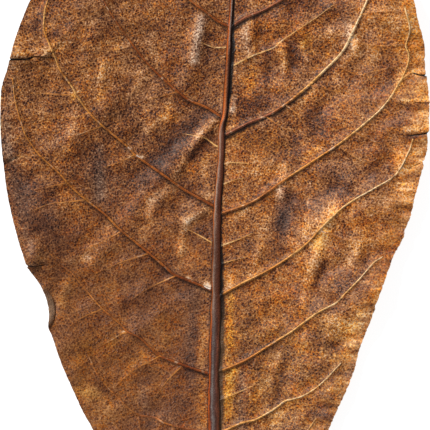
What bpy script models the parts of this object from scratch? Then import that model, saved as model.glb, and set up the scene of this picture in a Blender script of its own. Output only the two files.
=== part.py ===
"""Indian almond leaf: one dry, fallen leaf that lies with its underside up.

The tip points to +Y and the stalk to -Y. Blade, midrib, side veins, cross veins and
stalk grew as one piece, so they are one closed solid, resting on a flat spot at z = 0.
"""

import math

import bmesh
import bpy
import numpy as np
from mathutils import Vector
from mathutils.geometry import delaunay_2d_cdt

# Driving dimensions, in metres
BLADE_WIDTH = 0.128
BLADE_THICKNESS = 0.0007
STALK_RADIUS = 0.0023
STALK_LENGTH = 0.0138
STALK_LEAN = 0.0009
MIDRIB_TIP_RADIUS = 0.0004
CUP_RISE = 0.0085
TIP_RISE = 0.0060
BASE_RISE = 0.0040
MARGIN_WAVE = 0.0014
RIPPLE = 0.0005
REST_SINK = 0.0005

# How far in from the margin its waves reach, and their two lengths along it, in metres
WAVE_REACH = 0.016
LONG_WAVE = 0.0446
SHORT_WAVE = 0.0289
SHORT_WAVE_SHARE = 0.6
# How far the waves of the two sides are out of step, in radians
LONG_WAVE_LAG = 1.3
SHORT_WAVE_LAG = 2.0
# Ripples of the whole blade: their number, shortest and longest in metres, and the shares of
# the half blade over which they set in
RIPPLE_COUNT = 7
RIPPLE_LENGTHS = (0.022, 0.045)
RIPPLE_START = (0.05, 0.3)
RIPPLE_SEED = 7
# Powers of the rise towards the sides and towards the two ends
CUP_POWER = 1.55
END_POWER = 3
# Height of the midrib's round back against its half width, and the veins' loss of size to their tips
RIB_HEIGHT_SHARE = 1.15
VEIN_TAPER = 0.6
# Where the midrib's flank lines run, as a share of its half width
RIB_FLANK = 0.62
# Way along the midrib over which the blade gives way to the round stalk, in metres
STALK_BLEND = (-0.006, 0.004)
# The stalk's neck as a share of its length, and its cut end's width and rounding against its radius
NECK_SHARE = 0.35
CUT_WIDTH = 0.55
CUT_ROUNDING = 0.3

# Spacing of the mesh, in metres
EDGE_STEP = 0.0032
VEIN_STEP = 0.0050
FILL_STEP = 0.0066
CLEAR_OF_VEIN = 0.0030
CLEAR_OF_EDGE = 0.0034
CLEAR_OF_RIB = 0.0008
ROW_SHARE = 0.87
CURVE_PARTS = 24
MERGE = 0.00012
SNAP = 0.000012
# The triangulation's own sign for: keep what the outline holds
INSIDE_ONLY = 1

# The leaf's chart: x to the right, y down towards the stalk, this wide at the widest place
CHART_WIDTH = 427.0
UNIT = BLADE_WIDTH / CHART_WIDTH
# Place down the chart where the leaf's weight rests
WEIGHT_PLACE = 225

# The midrib's centre line, from the tip to the foot of the blade
MIDRIB = [
    (241, -148), (238.5, -100), (235.5, -50), (232, 0), (228.8, 50), (226, 100), (223.5, 121),
    (221.5, 150), (217.5, 205), (216.4, 250), (215, 330), (213.8, 372), (213.8, 430),
    (213.5, 520), (213, 646),
]
# Where along the chart the midrib has which share of the stalk's radius
MIDRIB_GROWTH = [(-148, 0.0), (0, 0.20), (100, 0.27), (200, 0.42), (330, 0.62), (430, 0.72), (646, 1.0)]

# The margin, in stretches between the sharp points where the leaf has torn
TIP = (241, -155)
LEFT_MARGIN = [
    [TIP, (233, -144), (216, -139), (190, -134), (161, -125), (131, -110), (103, -90), (72, -60),
     (48, -30), (31, 0), (16, 41), (12, 55), (11, 59)],
    [(33, 60.2)],
    [(10.6, 61.6), (8, 71), (2.7, 88), (1.4, 108), (1.4, 130), (3.4, 159), (7.5, 192), (12.6, 215),
     (20, 243), (26.5, 263)],
    [(30, 266.5)],
    [(29, 269.5), (38, 280), (45, 294), (49, 311), (48.4, 327), (57, 351), (68.6, 379.5),
     (82, 410), (93, 430), (110, 470), (129, 510), (149, 550), (169, 585), (186, 612), (198, 634),
     (205, 646)],
]
RIGHT_MARGIN = [
    [TIP, (250, -144), (266, -139), (290, -133), (315, -124), (337, -110), (359, -90), (382, -60),
     (400, -30), (412.5, 0), (420.7, 31.5), (424.8, 55), (426.2, 74)],
    [(415.4, 74.6)],
    [(426.6, 77), (428.6, 104), (428.2, 131)],
    [(411, 135.2)],
    [(427, 136), (426.5, 148), (423.9, 159.4)],
    [(413.6, 166.5)],
    [(423.3, 162.4), (418, 185), (411, 215), (403.5, 238), (391, 263), (381.6, 289), (374, 312),
     (361.7, 344), (355.5, 367), (344.6, 394.6), (328.8, 430), (313, 470), (295, 510), (275, 550),
     (255, 585), (238, 612), (227, 634), (221, 646)],
]

# Side veins, from the midrib towards the margin, strongest first in each group
RIGHT_VEINS = [
    [(225, 135), (249, 122.7), (274, 111.8), (300, 93), (322, 72.7), (342, 52), (352, 33), (367, 0),
     (371, -20), (369, -42)],
    [(220, 214), (253, 201.6), (284, 180.3), (311, 162.5), (338, 144.7), (363, 125), (384, 105.6),
     (400, 81), (408, 57), (408, 34), (404, 10)],
    [(218, 297), (242, 283.6), (273, 267.8), (304, 246), (323, 226), (345, 205.7), (373, 189),
     (395, 175), (408, 152), (412, 146)],
    [(216, 373), (242, 362.4), (266, 348), (292, 331.5), (318, 312.4), (344, 294.5), (360, 278),
     (381, 257.5)],
    [(215, 436), (242, 423.4), (266, 412.5), (296, 397.4), (321, 383.7), (340, 364)],
    [(214, 496), (245, 480), (275, 462), (300, 440), (315, 420)],
    [(214, 548), (245, 533), (270, 514), (288, 492)],
    [(213, 596), (238, 582), (255, 565), (265, 548)],
    [(232, 26), (246, 17), (263, 10.3), (281, 0), (310, -18), (335, -41), (352, -62)],
    [(235, -28), (255, -42), (280, -62), (300, -84), (310, -100)],
    [(238, -80), (252, -92), (268, -108), (276, -118)],
]
LEFT_VEINS = [
    [(223, 117.5), (206, 107), (177, 91), (151, 67), (128, 38.4), (106, 5), (98, -20), (91, -48)],
    [(217, 208), (192, 194), (161.5, 173.6), (136, 155.6), (116.5, 138.5), (89, 112.4), (73, 88),
     (56, 59), (46, 33), (46, 8), (54, -14)],
    [(215, 292), (192, 282), (164.5, 266.4), (142.6, 248), (119, 228.7), (85, 199), (60, 174),
     (41, 156.3), (25, 131.6), (16.5, 103), (13.7, 79)],
    [(213, 375), (192, 368.6), (164.5, 358.3), (140, 338.4), (119, 323.3), (101.5, 308), (71, 272),
     (60, 265)],
    [(213, 434), (180, 427.6), (145, 415.2), (122, 402), (100, 378), (88, 354)],
    [(213, 492), (185, 482), (160, 470), (138, 452), (114, 424)],
    [(213, 542), (188, 532), (168, 518), (150, 500), (138, 484)],
    [(213, 589), (193, 577), (180, 564), (171, 552)],
    [(230, 26.5), (218, 21), (206, 12), (191, 1), (166, -20), (143, -46), (124, -76)],
    [(235, -32), (215, -46), (195, -64), (180, -84), (172, -100)],
    [(238, -85), (225, -97), (214, -110), (208, -122)],
]
# Thin veins that leave the midrib between the side veins
BETWEEN_VEINS = [
    [(229, 67.5), (249, 57), (281, 41), (314, 19), (332, 6)],
    [(217, 247), (236, 240.4), (252, 233.5)],
    [(221, 165), (231, 162.4), (248, 163.4)],
    [(219, 186), (232, 180.6), (244, 178)],
    [(214, 403), (233, 395), (254, 385.7)],
    [(228, 47), (214, 47), (203, 43)],
    [(222, 148), (206, 138.5), (184, 133.7)],
    [(217, 246), (203, 237.5), (186, 228.5)],
]
# Cross veins that show singly, each with its ends near the veins that it joins
CROSS_VEINS = [
    [(321, 231), (344, 239.7), (374, 241), (391, 232), (396, 214)],
    [(360, 15), (378, 12.3), (402, 12.3)],
    [(350, 42), (378, 46), (403, 45)],
    [(311, 85), (338, 91.2), (374, 88)],
    [(341, 68), (358, 74.7), (374, 71.3), (400, 66)],
    [(267, 117), (277, 124), (290, 131)],
    [(286, 105), (297, 114), (306, 127)],
    [(356, 133), (378, 142.6), (398, 142)],
    [(340, 147), (364, 161.8), (380, 158)],
    [(277, 268), (280, 275), (288, 281)],
    [(58, 64), (46, 68.6), (31, 65)],
    [(88, 113), (74, 118), (60, 116)],
    [(103, 126), (85, 132.3), (70, 139)],
    [(133, 155), (120, 162), (104, 167)],
    [(176, 92), (162, 96), (146, 99.4)],
    [(67, 183), (52, 186), (38, 189)],
    [(84, 200), (68, 202), (33, 211)],
    [(130, 46), (116, 49.5), (98, 51)],
    [(120, 232), (103, 241), (87, 248)],
    [(147, 254), (119, 263), (97, 273)],
    [(175, 276), (151, 287), (132, 299)],
    [(102, 309), (84, 316.5), (70, 326)],
    [(125, 332), (96, 348), (88, 346)],
    [(160, 356), (132, 371.3), (114, 388)],
    [(181, 367), (167, 381), (154, 400)],
]
# Pairs of neighbouring side veins, by place in their lists, that ladders of cross veins join
RIGHT_LADDERS = [(0, 1, 4), (1, 2, 4), (2, 3, 5), (3, 4, 4), (4, 5, 3), (5, 6, 2), (8, 0, 4), (9, 8, 3)]
LEFT_LADDERS = [(0, 1, 4), (1, 2, 4), (2, 3, 4), (3, 4, 3), (4, 5, 3), (5, 6, 2), (8, 0, 4), (9, 8, 3)]
# Where the rungs start along a side vein and how much of it they span, as shares of its length
FIRST_RUNG = 0.16
RUNG_SPAN = 0.68
# How far outwards a rung runs, the furthest place that it ends at, and its bow, as shares
RUNG_DRIFT = 1.04
LAST_RUNG = 0.95
RUNG_BOW = 0.06
RUNG_CLEAR = 0.004

# Foot half widths and heights of the veins at their roots, in metres
SIDE_VEIN = (0.00105, 0.00100)
BETWEEN_VEIN = (0.00060, 0.00040)
CROSS_VEIN = (0.00060, 0.00030)

# Soft folds of the dry blade: two ends in the chart, half width and height in metres
FOLDS = [
    ((217, 120), (160, 180), 0.0034, 0.0011),
    ((200, 108), (146, 160), 0.0034, -0.0007),
    ((203, 14), (190, 70), 0.0030, 0.0010),
    ((214, 206), (174, 220), 0.0030, 0.0008),
    ((212, 186), (196, 203), 0.0030, 0.0007),
    ((150, 196), (96, 262), 0.0036, 0.0009),
    ((120, 96), (62, 150), 0.0036, 0.0008),
    ((190, 300), (140, 330), 0.0036, 0.0008),
    ((306, 264), (322, 222), 0.0040, 0.0010),
    ((344, 60), (356, 40), 0.0034, 0.0007),
    ((224, 330), (225, 398), 0.0022, 0.0007),
    ((242, 50), (252, 26), 0.0030, 0.0008),
    ((270, 150), (330, 110), 0.0044, -0.0009),
    ((262, 230), (330, 186), 0.0044, -0.0009),
    ((60, 55), (46, 57), 0.0022, 0.0010),
    ((44, 55), (14, 56), 0.0026, 0.0014),
    ((38, 250), (28, 268), 0.0020, 0.0012),
    ((43, 290), (47, 324), 0.0016, 0.0014),
    ((400, 101), (426, 101), 0.0024, 0.0010),
]


# Colour and roughness of the dry blade, and the crease angle above which shading breaks
LEAF_COLOUR = (0.27, 0.115, 0.042, 1)
LEAF_ROUGHNESS = 0.62
CREASE_ANGLE = math.radians(50)


def metres(points):
    """Chart points as an array of metres, +Y towards the leaf's tip."""
    return np.array(points, float) * (UNIT, -UNIT)


def smooth(points, step):
    """Points about one step apart on a smooth curve through the given ones."""
    given = np.array(points, float)
    if len(given) < 3:
        return given
    ends = (2 * given[:1] - given[1:2], given, 2 * given[-1:] - given[-2:-1])
    knots = np.vstack(ends)
    share = np.linspace(0, 1, CURVE_PARTS, endpoint=False)[:, None]
    pieces = []
    for before, start, end, after in zip(knots, knots[1:], knots[2:], knots[3:]):
        bend = 2 * before - 5 * start + 4 * end - after
        turn = 3 * start - before - 3 * end + after
        pieces.append(start + 0.5 * share * (end - before + share * (bend + share * turn)))
    fine = np.vstack(pieces + [given[-1:]])
    along = np.concatenate([[0], np.cumsum(np.linalg.norm(np.diff(fine, axis=0), axis=1))])
    count = max(2, round(along[-1] / step) + 1)
    places = np.linspace(0, along[-1], count)
    return np.column_stack([np.interp(places, along, fine[:, axis]) for axis in (0, 1)])


def nearest(points, route):
    """Distance of each point to a route, and how far along it as a share of its length."""
    best = np.full(len(points), np.inf)
    place = np.zeros(len(points))
    lengths = np.linalg.norm(np.diff(route, axis=0), axis=1)
    before = np.concatenate([[0], np.cumsum(lengths)])
    for start, end, length, done in zip(route, route[1:], lengths, before):
        share = np.clip((points - start) @ (end - start) / length**2, 0, 1)
        far = np.linalg.norm(points - start - share[:, None] * (end - start), axis=1)
        closer = far < best
        best[closer] = far[closer]
        place[closer] = (done + share[closer] * length) / before[-1]
    return best, place


def ease(value, low, high):
    """A smooth step from 0 at low to 1 at high."""
    share = np.clip((value - low) / (high - low), 0, 1)
    return share * share * (3 - 2 * share)


def beside(route, distance):
    """The route moved sideways, to its left for a distance above zero."""
    along = np.gradient(route, axis=0)
    along /= np.linalg.norm(along, axis=1)[:, None]
    return route + distance * np.column_stack([-along[:, 1], along[:, 0]])


def taper(place):
    """Size of a vein against its size at the root, for a place along it from 0 to 1."""
    return 1 - VEIN_TAPER * place


def stalk_foot():
    """Where the blade ends and the stalk begins, on the midrib."""
    return metres(MIDRIB[-1:])[0]


def stalk_end():
    """The middle of the stalk's cut end."""
    return stalk_foot() - (STALK_LEAN, STALK_LENGTH)


def stalk_side(foot, sign):
    """One side of the stalk, from the blade's foot to the stalk's end: sign is +1 on the right."""
    neck = foot - (0, NECK_SHARE * STALK_LENGTH)
    low = stalk_end() + (sign * STALK_RADIUS, CUT_ROUNDING * STALK_RADIUS)
    return smooth([foot, neck, low], EDGE_STEP)[1:]


def margin():
    """The closed outline of blade and stalk, tip first, down the left and up the right."""
    left = np.vstack([smooth(metres(stretch), EDGE_STEP) for stretch in LEFT_MARGIN])
    right = np.vstack([smooth(metres(stretch), EDGE_STEP) for stretch in RIGHT_MARGIN])
    cut = [stalk_end() + (sign * CUT_WIDTH * STALK_RADIUS, 0) for sign in (-1, 1)]
    stalk_left, stalk_right = stalk_side(left[-1], -1), stalk_side(right[-1], 1)
    return np.vstack([left, stalk_left, cut, stalk_right[::-1], right[:0:-1]])


class Leaf:
    """The leaf's lines in metres, and the heights that they give at any place."""

    def __init__(self):
        self.edge = margin()
        self.midrib = smooth(np.vstack([metres(MIDRIB), [stalk_end()]]), VEIN_STEP)
        self.base = stalk_foot()[1]
        right = [smooth(metres(vein), VEIN_STEP) for vein in RIGHT_VEINS]
        left = [smooth(metres(vein), VEIN_STEP) for vein in LEFT_VEINS]
        between = [smooth(metres(vein), VEIN_STEP) for vein in BETWEEN_VEINS]
        crossing = [smooth(metres(vein), VEIN_STEP) for vein in CROSS_VEINS]
        crossing += ladders(right, RIGHT_LADDERS, crossing) + ladders(left, LEFT_LADDERS, crossing)
        self.veins = [(route, *SIDE_VEIN) for route in right + left]
        self.veins += [(route, *BETWEEN_VEIN) for route in between]
        self.veins += [(route, *CROSS_VEIN) for route in crossing]
        chance = np.random.default_rng(RIPPLE_SEED)
        self.ripples = []
        for _ in range(RIPPLE_COUNT):
            turn = chance.uniform(0, math.tau)
            length = chance.uniform(*RIPPLE_LENGTHS)
            phase = chance.uniform(0, math.tau)
            self.ripples.append((turn, length, phase))

    def rib_radius(self, points):
        """Half width of the midrib and stalk beside each point."""
        places = [UNIT * y for y, _ in MIDRIB_GROWTH]
        grown = np.interp(-points[:, 1], places, [share for _, share in MIDRIB_GROWTH])
        return MIDRIB_TIP_RADIUS + (STALK_RADIUS - MIDRIB_TIP_RADIUS) * grown

    def across(self, points):
        """Signed distance from the midrib, as a share of the half blade."""
        centre = np.interp(-points[:, 1], -self.midrib[:, 1], self.midrib[:, 0])
        return (points[:, 0] - centre) / (BLADE_WIDTH / 2)

    def cup(self, points):
        """Rise of the blade towards its sides, its tip and its base."""
        y, top, low = points[:, 1], self.edge[:, 1].max(), self.edge[:, 1].min()
        rest = -UNIT * WEIGHT_PLACE
        to_tip = np.clip((y - rest) / (top - rest), 0, 1)
        to_base = np.clip((rest - y) / (rest - low), 0, 1)
        sides = CUP_RISE * np.abs(self.across(points)) ** CUP_POWER
        return sides + TIP_RISE * to_tip**END_POWER + BASE_RISE * to_base**END_POWER

    def margin_waves(self, points):
        """Waves of the margin, out of step on the two sides of the midrib."""
        from_rib, y = self.across(points), points[:, 1]
        to_edge, _ = nearest(points, np.vstack([self.edge, self.edge[:1]]))
        swing = np.sin(y * math.tau / LONG_WAVE + LONG_WAVE_LAG * np.sign(from_rib))
        swing += SHORT_WAVE_SHARE * np.sin(y * math.tau / SHORT_WAVE + SHORT_WAVE_LAG * from_rib)
        return swing * (1 - ease(to_edge, 0, WAVE_REACH)) * np.clip(2 * np.abs(from_rib), 0, 1)

    def drape(self, points):
        """Height of the blade's lower face over the surface that it lies on."""
        height = self.cup(points) + MARGIN_WAVE * self.margin_waves(points)
        set_in = ease(np.abs(self.across(points)), *RIPPLE_START)
        for turn, length, phase in self.ripples:
            wave = points @ (math.cos(turn), math.sin(turn)) * math.tau / length + phase
            height += RIPPLE / 2 * np.sin(wave) * set_in
        for start, end, half, rise in FOLDS:
            far, _ = nearest(points, metres([start, end]))
            height += rise * np.exp(-((far / half) ** 2))
        return np.maximum(height - REST_SINK, 0)

    def relief(self, points):
        """How far the veins stand out of the blade."""
        far, _ = nearest(points, self.midrib)
        radius = self.rib_radius(points)
        raised = RIB_HEIGHT_SHARE * radius * np.sqrt(np.clip(1 - (far / radius) ** 2, 0, 1))
        for route, width, height in self.veins:
            far, place = nearest(points, route)
            size = taper(place)
            raised = np.maximum(raised, height * size * np.clip(1 - far / (width * size), 0, 1))
        return raised

    def faces(self, points):
        """Heights of the lower and the upper face; the stalk rounds both."""
        low = self.drape(points)
        high = low + BLADE_THICKNESS + self.relief(points)
        far, _ = nearest(points, self.midrib)
        round_off = np.sqrt(np.clip(1 - (far / STALK_RADIUS) ** 2, 0, 1))
        half = BLADE_THICKNESS / 2 + (STALK_RADIUS - BLADE_THICKNESS / 2) * round_off
        stalk = ease(self.base - points[:, 1], *STALK_BLEND)
        centre = low + STALK_RADIUS
        return low + stalk * (centre - half - low), high + stalk * (centre + half - high)


def ladders(veins, rungs, shown):
    """Cross veins between neighbouring side veins, left out where one is already shown."""
    made = []
    for first, second, count in rungs:
        one, other = smooth(veins[first], VEIN_STEP / 4), smooth(veins[second], VEIN_STEP / 4)
        for number in range(count):
            share = FIRST_RUNG + RUNG_SPAN * (number + 0.5) / count
            start = one[int(share * (len(one) - 1))]
            end = other[int(min(LAST_RUNG, share * RUNG_DRIFT) * (len(other) - 1))]
            bow = RUNG_BOW * np.array([end[1] - start[1], start[0] - end[0]])
            route = smooth([start, (start + end) / 2 + bow, end], VEIN_STEP)
            gaps = [nearest(route[1:-1], seen)[0].min() for seen in shown + made]
            if min(gaps, default=1) > RUNG_CLEAR:
                made.append(route)
    return made


def vein_lines(leaf):
    """Crest and foot lines of the midrib and of every vein, which the mesh follows."""
    lines = []
    spine = smooth(leaf.midrib, VEIN_STEP / 2)[:-1]
    sideways = (beside(spine, 1) - spine) * leaf.rib_radius(spine)[:, None]
    blade = spine[:, 1] > leaf.base
    for share in (0, RIB_FLANK, -RIB_FLANK):
        lines.append(spine + sideways * share)
    for share in (1, -1):
        lines.append((spine + sideways * share)[blade])
    for route, width, _ in leaf.veins:
        lines.append(route)
        half = width * taper(np.linspace(0, 1, len(route)))[:, None]
        for side in (1, -1):
            foot = route + (beside(route, side) - route) * half
            far, _ = nearest(foot, leaf.midrib)
            foot = foot[far > leaf.rib_radius(foot) + CLEAR_OF_RIB]
            if len(foot) > 1:
                lines.append(foot)
    return lines


def fill_points(leaf, lines):
    """Loose points between the veins, in staggered rows, well clear of every line."""
    low, high = leaf.edge.min(axis=0), leaf.edge.max(axis=0)
    rows = np.arange(low[1], high[1], FILL_STEP * ROW_SHARE)
    grid = [(x + (number % 2) * FILL_STEP / 2, y)
            for number, y in enumerate(rows) for x in np.arange(low[0], high[0], FILL_STEP)]
    points = np.array(grid)
    for line in lines:
        points = points[nearest(points, line)[0] > CLEAR_OF_VEIN]
    closed = np.vstack([leaf.edge, leaf.edge[:1]])
    return points[nearest(points, closed)[0] > CLEAR_OF_EDGE]


def inside(points, outline):
    """True for each point that the outline holds."""
    held = np.zeros(len(points), bool)
    for (x0, y0), (x1, y1) in zip(outline, np.roll(outline, -1, axis=0)):
        spans = (y0 > points[:, 1]) != (y1 > points[:, 1])
        if spans.any():
            held ^= spans & (points[:, 0] < x0 + (points[:, 1] - y0) * (x1 - x0) / (y1 - y0))
    return held


def sheet(leaf):
    """The flat plan of the leaf as a mesh whose edges follow margin and veins."""
    lines = vein_lines(leaf)
    loose = fill_points(leaf, lines)
    points, edges = list(leaf.edge), []
    for line in lines:
        kept = line[inside(line, leaf.edge)]
        first = len(points)
        points += list(kept)
        edges += [(first + at, first + at + 1) for at in range(len(kept) - 1)]
    points += list(loose[inside(loose, leaf.edge)])
    outline = [list(range(len(leaf.edge)))]
    plan = delaunay_2d_cdt([Vector(point) for point in points], edges, outline, INSIDE_ONLY, SNAP)
    mesh = bmesh.new()
    corners = [mesh.verts.new((x, y, 0)) for x, y in plan[0]]
    for face in plan[2]:
        mesh.faces.new([corners[corner] for corner in face])
    loose_corners = [corner for corner in mesh.verts if not corner.link_faces]
    bmesh.ops.delete(mesh, geom=loose_corners, context="VERTS")
    bmesh.ops.remove_doubles(mesh, verts=mesh.verts, dist=MERGE)
    bmesh.ops.triangulate(mesh, faces=mesh.faces)
    return mesh


def leaf_mesh():
    """The sheet made thick, with each face lifted to its own height."""
    leaf = Leaf()
    mesh = sheet(leaf)
    bmesh.ops.recalc_face_normals(mesh, faces=mesh.faces)
    if sum(face.normal.z for face in mesh.faces) > 0:
        bmesh.ops.reverse_faces(mesh, faces=mesh.faces)
    lower = list(mesh.verts)
    grown = bmesh.ops.extrude_face_region(mesh, geom=list(mesh.faces), use_keep_orig=True)
    upper = [item for item in grown["geom"] if isinstance(item, bmesh.types.BMVert)]
    for corners, face in ((lower, 0), (upper, 1)):
        places = np.array([corner.co.xy for corner in corners])
        for corner, height in zip(corners, leaf.faces(places)[face]):
            corner.co.z = height
    bmesh.ops.recalc_face_normals(mesh, faces=mesh.faces)
    box = np.array([corner.co for corner in mesh.verts])
    middle = (box.min(axis=0) + box.max(axis=0)) / 2
    bmesh.ops.translate(mesh, verts=mesh.verts, vec=(-middle[0], -middle[1], 0))
    return mesh


def dry_leaf_material():
    """Dull golden brown of the dry blade."""
    material = bpy.data.materials.new("dry_leaf")
    material.use_nodes = True
    shader = material.node_tree.nodes["Principled BSDF"]
    shader.inputs["Base Color"].default_value = LEAF_COLOUR
    shader.inputs["Roughness"].default_value = LEAF_ROUGHNESS
    shader.inputs["Metallic"].default_value = 0
    return material


def build():
    for item in list(bpy.data.objects):
        bpy.data.objects.remove(item)
    collection = bpy.data.collections.new("indian_almond_leaf_parts")
    bpy.context.scene.collection.children.link(collection)
    data = bpy.data.meshes.new("indian_almond_leaf")
    mesh = leaf_mesh()
    mesh.to_mesh(data)
    mesh.free()
    data.materials.append(dry_leaf_material())
    data.shade_smooth()
    data.set_sharp_from_angle(angle=CREASE_ANGLE)
    collection.objects.link(bpy.data.objects.new("indian_almond_leaf", data))


build()
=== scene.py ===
"""Looks of a dry Indian almond leaf that lies with its veined underside up.

The leaf is one fine mesh round the CAD leaf's form: nearly the same chart of margin and veins,
with a thinner blade, more creases, tears and a ragged edge, and one procedural material.
"""

import math
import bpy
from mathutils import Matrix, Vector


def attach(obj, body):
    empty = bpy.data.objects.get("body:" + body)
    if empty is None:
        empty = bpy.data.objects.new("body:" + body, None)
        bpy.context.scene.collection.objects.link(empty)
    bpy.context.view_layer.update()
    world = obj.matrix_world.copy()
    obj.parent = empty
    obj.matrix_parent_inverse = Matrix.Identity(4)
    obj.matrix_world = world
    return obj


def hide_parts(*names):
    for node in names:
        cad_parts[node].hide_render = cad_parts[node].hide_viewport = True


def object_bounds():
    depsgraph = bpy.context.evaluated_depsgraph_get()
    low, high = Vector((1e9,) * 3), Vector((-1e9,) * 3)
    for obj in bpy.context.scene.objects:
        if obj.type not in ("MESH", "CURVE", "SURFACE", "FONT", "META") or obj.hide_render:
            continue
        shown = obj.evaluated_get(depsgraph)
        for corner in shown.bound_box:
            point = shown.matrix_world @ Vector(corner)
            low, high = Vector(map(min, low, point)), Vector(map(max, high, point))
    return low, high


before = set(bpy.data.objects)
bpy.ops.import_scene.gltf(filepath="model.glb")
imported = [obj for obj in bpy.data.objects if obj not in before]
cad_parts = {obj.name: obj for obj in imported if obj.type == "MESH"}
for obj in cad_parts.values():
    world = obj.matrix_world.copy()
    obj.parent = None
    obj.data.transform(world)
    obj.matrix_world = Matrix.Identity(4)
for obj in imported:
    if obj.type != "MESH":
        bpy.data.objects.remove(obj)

from types import SimpleNamespace

import bpy
import numpy as np
from mathutils import Vector
from mathutils.geometry import delaunay_2d_cdt

CAD_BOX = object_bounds()
NODE = "indian_almond_leaf"

# Real sizes, in metres
BLADE_WIDTH = 0.128
BLADE_THICKNESS = 0.00045
STALK_RADIUS = 0.0023
STALK_LENGTH = 0.0138
MIDRIB_TIP_RADIUS = 0.0004
CUP_RISE = 0.0085
TIP_RISE = 0.006
BASE_RISE = 0.004
MARGIN_WAVE = 0.0014
RIPPLE = 0.0005
REST_SINK = 0.0005

# Powers of the rise towards the sides and towards the two ends
CUP_POWER = 1.55
END_POWER = 3
# How far in from the margin its waves reach, and their two lengths for each radian, in metres
WAVE_REACH = 0.016
LONG_WAVE = 0.0071
SHORT_WAVE = 0.0046
SHORT_WAVE_SHARE = 0.6
# How far the waves of the two sides are out of step, in radians
LONG_WAVE_LAG = 1.3
SHORT_WAVE_LAG = 2
# Ripples of the whole blade: their number, shortest and longest in metres, and the shares of
# the half blade over which they set in
RIPPLE_COUNT = 7
RIPPLE_LENGTHS = (0.022, 0.045)
RIPPLE_START = (0.05, 0.3)
RIPPLE_SEED = 7
# Small waves: height, shortest and longest in metres, number and seed. The knots' height is a
# share of the midrib's half width.
LOOSE_WAVES = [(0.00022, (0.007, 0.013), 14, 11), (0.0001, (0.0035, 0.006), 14, 12)]
CRINKLES = (0.00016, (0.0022, 0.005), 12, 13)
RIB_KNOTS = (0.05, (0.004, 0.016), 10, 21)
# Where they set in, as shares of the half blade, where the crinkles end, in metres from the
# margin, and how much weaker the left half's waves are
LOOSE_START = (0.03, 0.12)
CRINKLE_START = (0.1, 0.2)
CRINKLE_END = (0.002, 0.008)
LEFT_LOOSENESS = 0.7
# How far x and y count in crinkles and knots: below 1 draws them out that way
CRINKLE_STRETCH = (0.2, 1)
KNOT_STRETCH = (0.3, 1)

# Height of the midrib's round back against its half width, and the way along it over which the
# blade gives way to the round stalk, in metres
RIB_HEIGHT_SHARE = 1.15
STALK_BLEND = (-0.006, 0.004)
# The stalk's neck as a share of its length, and its cut end's width and rounding against its radius
NECK_SHARE = 0.35
CUT_WIDTH = 0.55
CUT_ROUNDING = 0.3
# How much thinner the rim is, how wide it is, and what the deepest crack leaves, in metres
RIM_LOSS = 0.35
RIM_WIDTH = 0.0022
CRACK_FLOOR = 0.00012

# Spacing of the fine mesh, in metres
EDGE_STEP = 0.0005
VEIN_STEP = 0.0009
FILL_STEP = 0.00096
CLEAR = 0.00055
CLEAR_OF_EDGE = 0.00025
EDGE_REACH = 0.002
MERGE = 0.00003
COARSE_STEP = 0.0032
# Spacing of the rows, and how far a point leaves its place, as shares of the step
ROW_SHARE = 0.87
SCATTER = 0.12
SCATTER_SEED = 3
# The longest gap that a mesh line bridges, in steps, and the parts of a curve between two points
LONGEST_GAP = 2.2
CURVE_PARTS = 24
# The triangulation's own sign for: keep what the outline holds
INSIDE_ONLY = 1
# Where mesh lines run along midrib and veins, as shares of the half width
RIB_LINES = (0, 0.34, -0.34, 0.64, -0.64, 0.87, -0.87)
RIB_FOOT_LINES = (1, -1, 1.12, -1.12)
SIDE_VEIN_LINES = (0, 0.5, -0.5, 1, -1)
THIN_VEIN_LINES = (0, 1, -1)
# How far from the midrib they start, for a crest and for a flank
CREST_START = 0.7
FLANK_START = 1.15
# The crease angle above which shading breaks, and the gap round each face in the texture square
SHARP_ANGLE = math.radians(70)
TEXTURE_GAP = 0.001

# The uneven edge: lengths of its waves, depth on the right and on the left, and how far up
# from the blade's foot it sets in, in metres
RAGGED_LENGTHS = (0.0011, 0.0017, 0.0026, 0.0048, 0.009)
RAGGED_DEPTHS = (0.00007, 0.00003)
RAGGED_START = 0.01
RAGGED_JITTER = 1.2
RAGGED_SEED = 5

# A crack's lifted lip: how far off it is looked for, its sharp side, its fall and its end
TEAR_REACH = 0.012
LIP_WIDTH = 0.0002
LIP_FALL = 0.0035
LIP_END = (0.55, 1)
# A crack's groove: how far off it is looked for, its width at the mouth against its half width,
# and how soft its side is
GROOVE_REACH = 0.002
GROOVE_MOUTH = 1.4
GROOVE_SIDE = 0.6
# The rolled strip: how far off it is looked for, its start, width and painted shade line in metres,
# how dark that painted shade is, and where along it the ends set in
ROLL_REACH = 0.004
ROLL_START = (0.0001, 0.0003)
ROLL_WIDTH = 0.0035
ROLL_LINE = 0.0003
ROLL_SHADE = 0.7
ROLL_ENDS = ((0, 0.12), (0.55, 1))

# A side vein's painted shadow at its foot, on the side away from the light: its place and width against the
# vein's, and its loss to the tip
FOOT_PLACE = 0.95
FOOT_WIDTH = 0.5
FOOT_LOSS = 0.75
# The shares of a vein's length between which it turns golden, and a distance in metres that keeps
# the nearness of a crest finite
GOLD_ALONG = (0.08, 0.72)
TOUCH = 0.00001

# Where tissue is calmer: down the chart, beside the right margin and on the outer right
CALM_DOWN = (120, 330)
CALM_RIGHT_LOSS = 0.7
CALM_RIM = 0.9
CALM_OUTER = 0.45
OUTER_PART = (0.45, 0.85)
RIGHT_START = (-0.2, 0.1)
PALE_RIM = (0.002, 0.011)
# Where the midrib's look changes, down the chart
TOP_PART = (120, 136)
LOWER_HALF = (290, 340)

# Ladders of cross veins: where the rungs start along a side vein, how much of it they span, how
# far outwards they run, the furthest place they end at, their bow, and spacings in metres
FIRST_RUNG = 0.16
RUNG_SPAN = 0.68
RUNG_DRIFT = 1.04
LAST_RUNG = 0.95
RUNG_BOW = 0.06
RUNG_CLEAR = 0.004
RUNG_STEP = 0.0014

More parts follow.
